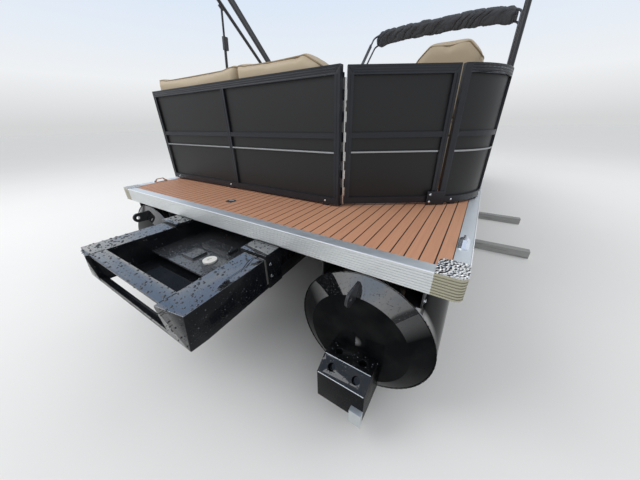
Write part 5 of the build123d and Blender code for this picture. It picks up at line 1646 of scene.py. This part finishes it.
@dataclass
class Pad:
    """Stuffed cushion: a boxed cover blown up by cloth simulation, with piping on its edges.

    Attributes:
        name: the cushion's name.
        low: lowest corner of its solid.
        high: highest corner.
        body: the body that it rides on.
        corner: radius of its edges before it is blown up.
        cut: outline of a sloping top, as x and top height.
        channels: shares of its length at which it is sewn down.
        step: mesh size of the cover.
        inset: how much smaller than the solid the cover starts.
        cap: how far a place may move as it is blown up.
        frames: steps of the simulation.
        pressure: the solver's pressure.
        stiffness: its tension and compression stiffness.
        channel_depth: how deep a channel is.
        channel_width: how wide.
        squareness: power of the piping's rounded outline, from 0 for square.
        pipe: radius of the piping.
        pipe_places: places along it.
    """

    name: str
    low: Point
    high: Point
    body: str = "hull"
    corner: float = 0.032
    cut: tuple[tuple[float, float], ...] = ()
    channels: tuple[float, ...] = ()
    step: float = 0.02
    inset: float = 0.004
    cap: float = 0.014
    frames: int = 14
    pressure: float = 4.0
    stiffness: float = 12.0
    channel_depth: float = 0.01
    channel_width: float = 0.014
    squareness: float = 0.16
    pipe: float = 0.0045
    pipe_places: int = 220

    def cover(self) -> Shape:
        """Starting cover: a cube's surface grid, pulled to a box with rounded edges.

        Each grid point of the cube is clamped into the box less the corner radius, and then
        pushed out by that radius along the line from the clamped place.

        Returns:
            Vertices and quads.
        """
        low, high = np.array(self.low) + self.inset, np.array(self.high) - self.inset
        size = high - low
        count = np.maximum((size / self.step).round().astype(int), 4)
        sheets = []
        for fixed in range(3):
            across, along = [axis for axis in range(3) if axis != fixed]
            first, second = np.meshgrid(
                np.linspace(0, 1, count[across] + 1), np.linspace(0, 1, count[along] + 1), indexing="ij"
            )
            for end in (0.0, 1.0):
                place = np.empty((*first.shape, 3))
                place[..., across], place[..., along], place[..., fixed] = first, second, end
                faces = grid_faces(*first.shape)
                facing_out = (end == 1.0) == (fixed != 1)
                sheets.append((place.reshape(-1, 3), faces if facing_out else faces[:, ::-1]))
        vertices, faces = joined(sheets)
        keys = np.round(vertices * 4096).astype(np.int64)
        _, first_of, number = np.unique(keys, axis=0, return_index=True, return_inverse=True)
        vertices = vertices[first_of] * size
        faces = number.ravel()[faces]
        radius = min(self.corner, 0.49 * float(size.min()))
        inner = np.clip(vertices, radius, size - radius)
        away = vertices - inner
        reach = np.linalg.norm(away, axis=1, keepdims=True)
        return low + inner + np.where(reach > 0, away / np.maximum(reach, 1e-9) * radius, 0), faces

    def shaped(self, vertices: np.ndarray) -> np.ndarray:
        """Lowers the top to the outline, which is straight between its points.

        Args:
            vertices: places of the cover.

        Returns:
            The moved places.
        """
        if not self.cut:
            return vertices
        x, top = np.array(self.cut).T
        low, high = self.low[2], self.high[2]
        limit = np.interp(vertices[:, 0], x, top)
        share = (vertices[:, 2] - low) / (high - low)
        moved = vertices.copy()
        moved[:, 2] = low + share * (limit - low)
        return moved

    def blown(self, piece: bpy.types.Object) -> None:
        """Blows the cover up with the cloth solver, holds it near its shape and keeps the result.

        Args:
            piece: the cover.
        """
        start = places_of(piece.data)
        solver = piece.modifiers.new("Blow", "CLOTH")
        solver.settings.quality = 4
        solver.settings.mass = 0.4
        solver.settings.tension_stiffness = self.stiffness
        solver.settings.compression_stiffness = self.stiffness
        solver.settings.bending_stiffness = 2.5
        solver.settings.use_pressure = True
        solver.settings.uniform_pressure_force = self.pressure
        solver.settings.effector_weights.gravity = 0.0
        solver.settings.shrink_min = -0.03
        solver.collision_settings.use_collision = False
        scene = bpy.context.scene
        for frame in range(1, self.frames + 1):
            scene.frame_set(frame)
        settled = piece.evaluated_get(bpy.context.evaluated_depsgraph_get())
        move = places_of(settled.to_mesh()) - start
        settled.to_mesh_clear()
        piece.modifiers.remove(solver)
        scene.frame_set(1)
        reach = np.linalg.norm(move, axis=1, keepdims=True)
        move *= np.minimum(1.0, self.cap / np.maximum(reach, 1e-9))
        flat = np.clip((start[:, 2:3] - self.low[2]) / 0.03, 0.1, 1.0)
        piece.data.vertices.foreach_set("co", (start + move * flat).ravel())
        piece.data.update()

    def sewn(self, piece: bpy.types.Object) -> None:
        """Presses a sewn channel across the top at each named share of its length.

        A place's drop is the channel's depth by exp(-(distance / width) squared), less the
        lower it lies.

        Args:
            piece: the cushion.
        """
        if not self.channels:
            return
        place = places_of(piece.data)
        low, high = np.array(self.low), np.array(self.high)
        run = int(np.argmax((high - low)[:2]))
        gap = np.full(len(place), 9.0)
        for share in self.channels:
            seam = low[run] + share * (high - low)[run]
            gap = np.minimum(gap, np.abs(place[:, run] - seam))
        over = np.clip((place[:, 2] - 0.5 * (low[2] + high[2])) / (0.5 * (high[2] - low[2])), 0, 1)
        place[:, 2] -= self.channel_depth * np.exp(-((gap / self.channel_width) ** 2)) * over
        piece.data.vertices.foreach_set("co", place.ravel())
        piece.data.update()

    def piping(self, piece: bpy.types.Object) -> bpy.types.Object:
        """Round piping that lies on the cover, along its upper edge.

        Its outline is a rounded box, cos and sin of the angle to a small power, by half the
        cushion's size. Each place then goes to the nearest one on the cover.

        Args:
            piece: the cushion.

        Returns:
            The piping.
        """
        low, high = np.array(self.low), np.array(self.high)
        middle, half = (low + high) / 2, (high - low) / 2
        angle = np.linspace(0, 2 * np.pi, self.pipe_places, endpoint=False)
        round_x = np.sign(np.cos(angle)) * np.abs(np.cos(angle)) ** self.squareness * half[0]
        round_y = np.sign(np.sin(angle)) * np.abs(np.sin(angle)) ** self.squareness * half[1]
        ring = np.stack((middle[0] + round_x, middle[1] + round_y, np.full(len(angle), high[2])), axis=1)
        ring = self.shaped(ring)
        ring[:, 2] -= 0.012
        faces = [face.vertices[:] for face in piece.data.polygons]
        cover = BVHTree.FromPolygons(places_of(piece.data).tolist(), faces)
        near = np.array([(*cover.find_nearest(Vector(place))[0],) for place in ring])
        near = evenly(near, self.pipe_places)
        made = piece_from(self.name + "_piping", *tube(smoothed(near, 3), self.pipe, 8, closed=True))
        outward(made)
        finish(made, "tan_piping")
        return made

    def build(self) -> list[bpy.types.Object]:
        """Makes the cushion and its piping.

        Returns:
            The cushion, then its piping.
        """
        vertices, faces = self.cover()
        piece = piece_from(self.name, self.shaped(vertices), faces)
        outward(piece)
        self.blown(piece)
        self.sewn(piece)
        piping = self.piping(piece)
        detail = piece.modifiers.new("Round", "SUBSURF")
        detail.levels = detail.render_levels = 1
        finish(piece, "tan_vinyl")
        for made in (piece, piping):
            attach(made, self.body)
        return [piece, piping]


@dataclass
class Lounges:
    """Every cushion of the boat, as many as the solids that they stand for.

    Attributes:
        nodes: the nodes that hold the cushions' solids.
        passes: most rounds of the search for a mesh's loose solids.
        seam_pitch: about how far apart the sewn channels are.
        channelled: least length, and most height, of a cushion that has them.
        slope_places: fewest and most outline points of a top that slopes.
    """

    nodes: tuple[str, ...] = (
        "stern_lounge_cushions", "port_lounge_cushions", "starboard_lounge_cushions",
        "bow_lounge_cushions", "seat_cushions",
    )
    passes: int = 400
    seam_pitch: float = 0.55
    channelled: tuple[float, float] = (0.8, 0.3)
    slope_places: tuple[int, int] = (3, 8)

    def solids(self, node: str) -> list[np.ndarray]:
        """Places of each loose solid in a node's mesh.

        Places that an edge joins take the lower of their two numbers, until none changes.

        Args:
            node: the node's name.

        Returns:
            For each solid its places, one row each.
        """
        mesh = bpy.data.objects[node].data
        place = places_of(mesh)
        ends = np.empty(len(mesh.edges) * 2, int)
        mesh.edges.foreach_get("vertices", ends)
        keys = np.unique(np.round(place, 5), axis=0, return_inverse=True)[1].ravel()
        group = np.arange(keys.max() + 1)
        pairs = keys[ends.reshape(-1, 2)]
        for _ in range(self.passes):
            before = group.copy()
            low = np.minimum(group[pairs[:, 0]], group[pairs[:, 1]])
            np.minimum.at(group, pairs[:, 0], low)
            np.minimum.at(group, pairs[:, 1], low)
            if np.array_equal(before, group):
                break
        label = group[keys]
        return [place[label == one] for one in np.unique(label)]

    def build(self) -> None:
        """Makes the cushions and lets each node's own stand for its solids."""
        for node in self.nodes:
            made: list[bpy.types.Object] = []
            body = "helm_seat" if node == "seat_cushions" else "hull"
            for index, points in enumerate(self.solids(node), start=1):
                made += self.pad(f"{node}_{index}", points, body).build()
            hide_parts(node)

    def slope(self, points: np.ndarray) -> tuple[tuple[float, float], ...]:
        """Outline of a solid's sloping top.

        Args:
            points: the solid's places.

        Returns:
            X and top height of each of its corners, or nothing where the top is level or round.
        """
        upper = points[points[:, 2] > points[:, 2].min() + 0.01]
        top = {(round(float(x), 4), round(float(z), 4)) for x, _, z in upper}
        fewest, most = self.slope_places
        if not fewest <= len(top) <= most:
            return ()
        return tuple(sorted({x: max(z for other, z in top if other == x) for x, _ in top}.items()))

    def pad(self, name: str, points: np.ndarray, body: str) -> Pad:
        """Sets up the cushion that stands for a solid.

        Args:
            name: the cushion's name.
            points: the solid's places.
            body: the body that it rides on.

        Returns:
            The cushion, not yet built.
        """
        low, high = points.min(0), points.max(0)
        size = high - low
        long = float(max(size[:2]))
        seams = max(1, round(long / self.seam_pitch))
        channels: tuple[float, ...] = ()
        if long > self.channelled[0] and size[2] < self.channelled[1]:
            channels = tuple((k + 1) / (seams + 1) for k in range(seams))
        corner = min(Pad.corner, 0.3 * float(size.min()))
        return Pad(name, tuple(low), tuple(high), body, corner, self.slope(points), channels)


@dataclass
class Boot:
    """Sun top rolled up in its canvas boot: a gathered sleeve round the bows.

    Attributes:
        side: the sun top's name.
        pivot: how far forward of the stern edge its pins are.
        lean: the folded bows' angle over the deck, in degrees.
        way: 1 where they lean to the bow, and -1 to the stern.
        seed: the random folds' seed.
        pin_above: the pins' height over the deck.
        length: from the pins to the top of the main bow.
        fan: angle between the two bows that it holds.
        fork: how far up the main bow the second one starts.
        offset: how far off the main bow that is.
        shorter: how much less than the main bow's the second one's length is.
        margin: how much wider than the bows' gap it is.
        thickness: its thickness.
        end: its half length.
        spine: its middle line, as x and height over the bows' tops.
        inset: how much smaller than its solid it is.
        rows: rings along it.
        sides: places round each ring.
        roundness: power of its rounded square section.
    """

    side: str
    pivot: float
    lean: float
    way: int
    seed: int
    pin_above: float = 0.758
    length: float = 1.985
    fan: float = 2.0
    fork: float = 0.3
    offset: float = 0.105
    shorter: float = 0.32625
    margin: float = 0.115
    thickness: float = 0.205
    end: float = 1.208
    spine: tuple[tuple[float, float], ...] = ((-1.208, -0.127), (-0.95, -0.03), (-0.35, 0.0))
    inset: float = 0.006
    rows: int = 460
    sides: int = 104
    roundness: float = 0.66

    def direction(self, angle: float) -> np.ndarray:
        """Direction along the boat that rises at an angle."""
        turn = math.radians(angle)
        return np.array((0.0, self.way * math.cos(turn), math.sin(turn)))

    def middle(self, across: np.ndarray) -> tuple[np.ndarray, np.ndarray, float]:
        """Middle line of the boot, from the two bows that it holds.

        Args:
            across: x of each of its places.

        Returns:
            The places of the line, the direction from one bow to the other and their gap.
        """
        pivot = BOAT.at(0, self.pivot, self.pin_above)
        first = self.direction(self.lean)
        foot = pivot + first * self.fork + self.direction(self.lean - 90) * self.offset
        second = self.direction(self.lean - self.fan)
        bars = pivot + first * self.length, foot + second * (self.length - self.shorter)
        apart = bars[1] - bars[0]
        gap = float(np.linalg.norm(apart))
        x, drop = np.array(self.spine + tuple((-px, pz) for px, pz in self.spine[::-1])).T
        height = np.interp(across, x, drop)
        reach = 30
        kernel = np.hanning(2 * reach + 1)
        padded = np.pad(height, reach, mode="reflect", reflect_type="odd")
        height = np.convolve(padded, kernel / kernel.sum(), mode="valid")
        line = (bars[0] + bars[1]) / 2 + height[:, None] * first
        line[:, 0] = across
        return line, apart / gap, gap

    def surface(self) -> np.ndarray:
        """Folded sleeve as a grid of places.

        Its section is a rounded square. Large soft lumps, slanting creases that are sharp in
        their valleys and fine crumpling are taken off it, more below than on top, and each
        end is gathered to a frill by its cord.

        Returns:
            Places by ring and by place round it.
        """
        across = np.linspace(-self.end + 0.004, self.end - 0.004, self.rows)
        line, long_way, gap = self.middle(across)
        short_way = np.cross((1.0, 0.0, 0.0), long_way)
        if short_way[2] < 0:
            short_way = -short_way
        u, v = np.meshgrid(across, np.linspace(0, 2 * np.pi, self.sides, endpoint=False), indexing="ij")
        half_long, half_short = (gap + self.margin) / 2 - self.inset, self.thickness / 2 - self.inset
        wide = np.sign(np.cos(v)) * np.abs(np.cos(v)) ** self.roundness
        high = np.sign(np.sin(v)) * np.abs(np.sin(v)) ** self.roundness
        turn = v / (2 * np.pi)
        lean = u + 0.05 * np.sin(v + 2.5 * lattice(u * 3, turn * 2, 2, self.seed)) + 0.02 * np.sin(3 * v)
        lumps = lattice(lean * 4.5, turn * 4, 4, self.seed + 1)
        valley = 1 - np.abs(2 * lattice(lean * 9 + turn * 3, turn * 3, 3, self.seed + 2) - 1)
        small = 1 - np.abs(2 * lattice(lean * 21, turn * 6, 6, self.seed + 3) - 1)
        fine = lattice(u * 60, turn * 18, 18, self.seed + 4)
        below = 0.7 + 0.7 * (0.5 - 0.5 * high)
        depth = below * (0.02 * lumps + 0.02 * valley ** 4 + 0.008 * small ** 4) + 0.0015 * fine
        edge = np.minimum(u - across[0], across[-1] - u)
        gather = np.clip(edge / 0.09, 0, 1) ** 0.6
        frill = np.sin(17 * v + 4 * lattice(u * 20, turn * 5, 5, self.seed + 5))
        depth += (1 - gather) * 0.012 * (0.5 + 0.5 * frill)
        shrink = 0.5 + 0.5 * gather
        around = (half_long * shrink - depth) * wide, (half_short * shrink - depth) * high
        return line[:, None] + around[0][..., None] * long_way + around[1][..., None] * short_way

    def build(self) -> None:
        """Makes the sleeve and its two drawstrings."""
        surface = self.surface()
        middle = surface.mean(axis=1, keepdims=True)
        caps = [np.repeat(middle[k:k + 1 or None], self.sides, axis=1) for k in (0, -1)]
        closed = np.concatenate((caps[0], surface, caps[1]))
        sleeve = piece_from(f"{self.side}_boot_sleeve", closed.reshape(-1, 3),
                            grid_faces(len(closed), self.sides, wrap_columns=True))
        around = np.linspace(0, 2 * (self.thickness + self.margin), self.sides, endpoint=False)
        around = np.broadcast_to(around, closed.shape[:2])
        spread(sleeve, "cloth", np.stack((closed[..., 0], around), axis=-1))
        outward(sleeve)
        body = f"{self.side}_bimini"
        finish(sleeve, "boot_canvas")
        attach(sleeve, body)
        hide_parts(f"{self.side}_bimini_boot")
        rings = []
        for row in (9, -10):
            ring = middle[row] + 1.01 * (surface[row] - middle[row])
            rings.append(tube(smoothed(ring, 4), 0.004, 8, closed=True))
        fitted(f"{self.side}_boot_drawstrings", rings, "grip_black", body)


# Light, floor and camera


@dataclass
class Studio:
    """Pale floor, soft light and the camera at the photograph's place."""

    eye: Point = (1.214, -3.8845, 1.338)
    focal_px: float = 239.03
    frame_px: float = 640.0
    sensor: float = 36.0
    horizon: Colour = (0.66, 0.665, 0.67)
    zenith: Colour = (0.42, 0.62, 1.0)
    bands: tuple[tuple[float, Colour], ...] = ((0.12, (0.86, 0.88, 0.9)), (0.4, (0.66, 0.78, 0.95)))
    wall: Colour = (0.2, 0.205, 0.21)
    light: Colour = (0.97, 0.985, 1.0)
    daylight: float = 0.78
    rows: tuple[Point, Point, Point] = (
        (0.843, 0.5377, -0.0157), (0.227, -0.3819, -0.8959), (-0.4877, 0.7517, -0.444),
    )

    def camera(self) -> None:
        """Sets the camera: its axes are the rows of the solved turn, the last two reversed."""
        lens = bpy.data.cameras.new("camera")
        lens.sensor_width = self.sensor
        lens.lens = self.sensor * self.focal_px / self.frame_px
        lens.clip_start = 0.02
        holder = bpy.data.objects.new("camera", lens)
        bpy.context.scene.collection.objects.link(holder)
        right, down, ahead = (Vector(row) for row in self.rows)
        turn = Matrix((right, -down, -ahead)).transposed()
        holder.matrix_world = Matrix.Translation(self.eye) @ turn.to_4x4()
        bpy.context.scene.camera = holder

    def floor(self) -> None:
        """Lays a pale floor far beyond the boat."""
        reach = 60.0
        corners = np.array([(-reach, -reach, 0), (reach, -reach, 0), (reach, reach, 0), (-reach, reach, 0)])
        ground = piece_from("floor", corners, np.array([[0, 1, 2, 3]]), smooth=False)
        graph = Graph("pale_floor")
        tone = graph.blend(graph.noise(0.8, 4), (0.86, 0.86, 0.855), (0.83, 0.83, 0.83))
        ground.data.materials.append(graph.shade(Base_Color=tone, Roughness=0.9, Specular_IOR_Level=0.1))

    def sky(self) -> None:
        """Soft even light, and a pale backdrop for what the camera, gloss and glass see.

        The backdrop is the floor's own tone at the horizon and pale blue over it, by the
        height of the direction that is looked in. Gloss sees white cloud on it as well, and
        a dark wall far off.
        """
        graph = Graph("soft_sky", world=True)
        bpy.context.scene.world = graph.owner
        where = graph.coordinates.outputs["Generated"]
        height = graph.split(Axis.Z, where)
        gradient = graph.node("ValToRGB", Fac=height)
        stops = gradient.color_ramp.elements
        stops[0].position, stops[0].color = 0.0, (*self.horizon, 1)
        stops[1].position, stops[1].color = 1.0, (*self.zenith, 1)
        for position, colour in self.bands:
            stops.new(position).color = (*colour, 1)
        plain = gradient.outputs[0]
        cloud = graph.noise(2.4, 5, graph.scaled((1.0, 1.0, 2.6), where))
        share = graph.calc("MULTIPLY", graph.ramp(cloud, 0.4, 0.62, 0.0, 0.75), graph.ramp(height, 0.0, 0.12))
        clouded = graph.blend(share, plain, (1.0, 1.0, 1.0))
        ragged = graph.calc("MULTIPLY", graph.noise(9.0, 3, where), 0.09)
        over_wall = graph.ramp(graph.calc("ADD", height, ragged), 0.1, 0.14)
        walled = graph.blend(over_wall, self.wall, clouded)
        lit, seen, backdrop = (
            graph.node("Background", Color=colour, Strength=strength).outputs[0]
            for colour, strength in (((*self.light, 1.0), self.daylight), (walled, 1.0), (plain, 1.0))
        )
        ray = graph.node("LightPath").outputs
        mirror = graph.calc("MAXIMUM", ray["Is Glossy Ray"], ray["Is Transmission Ray"])
        surface = graph.either(ray["Is Camera Ray"], graph.either(mirror, lit, seen), backdrop)
        graph.put(graph.output.inputs["Surface"], surface)

    def lamps(self) -> None:
        """Hangs two large soft lamps, one to port of the stern and one to starboard."""
        for name, place, aim, size, power in (
            # name, place, aim, width, watts
            ("key", (-5.0, -7.0, 7.5), (0.0, -2.0, 0.8), 5.0, 330.0),
            ("fill", (6.0, 3.0, 7.0), (0.0, 0.0, 0.8), 6.0, 130.0),
        ):
            lamp = bpy.data.lights.new(name, "AREA")
            lamp.size = size
            lamp.energy = power
            holder = bpy.data.objects.new(name, lamp)
            holder.location = place
            holder.rotation_euler = (Vector(aim) - Vector(place)).to_track_quat("-Z", "Y").to_euler()
            bpy.context.scene.collection.objects.link(holder)

    def build(self) -> None:
        """Sets up everything round the boat."""
        bpy.context.scene.view_settings.view_transform = "Standard"
        self.camera()
        self.floor()
        self.sky()
        self.lamps()


def main() -> None:
    """Loads the frame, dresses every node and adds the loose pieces."""
    logging.basicConfig(level=logging.INFO)
    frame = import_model()
    Studio().build()
    for one in FINISHES:
        one.build()
    for node, piece in frame["nodes"].items():
        if node in NODE_FINISH:
            finish(piece, NODE_FINISH[node])
    for eased in EASED:
        eased.build()
    for group in (FenceTrim(), RiserBolts(), Welds(), EdgeHighlights(), PodFittings(), Rain(), Dash(), Lounges()):
        group.build()
    Boot("aft", 2.318, 43, -1, 21).build()
    Boot("forward", 3.93, 44, 1, 47).build()


if __name__ == "__main__":
    main()
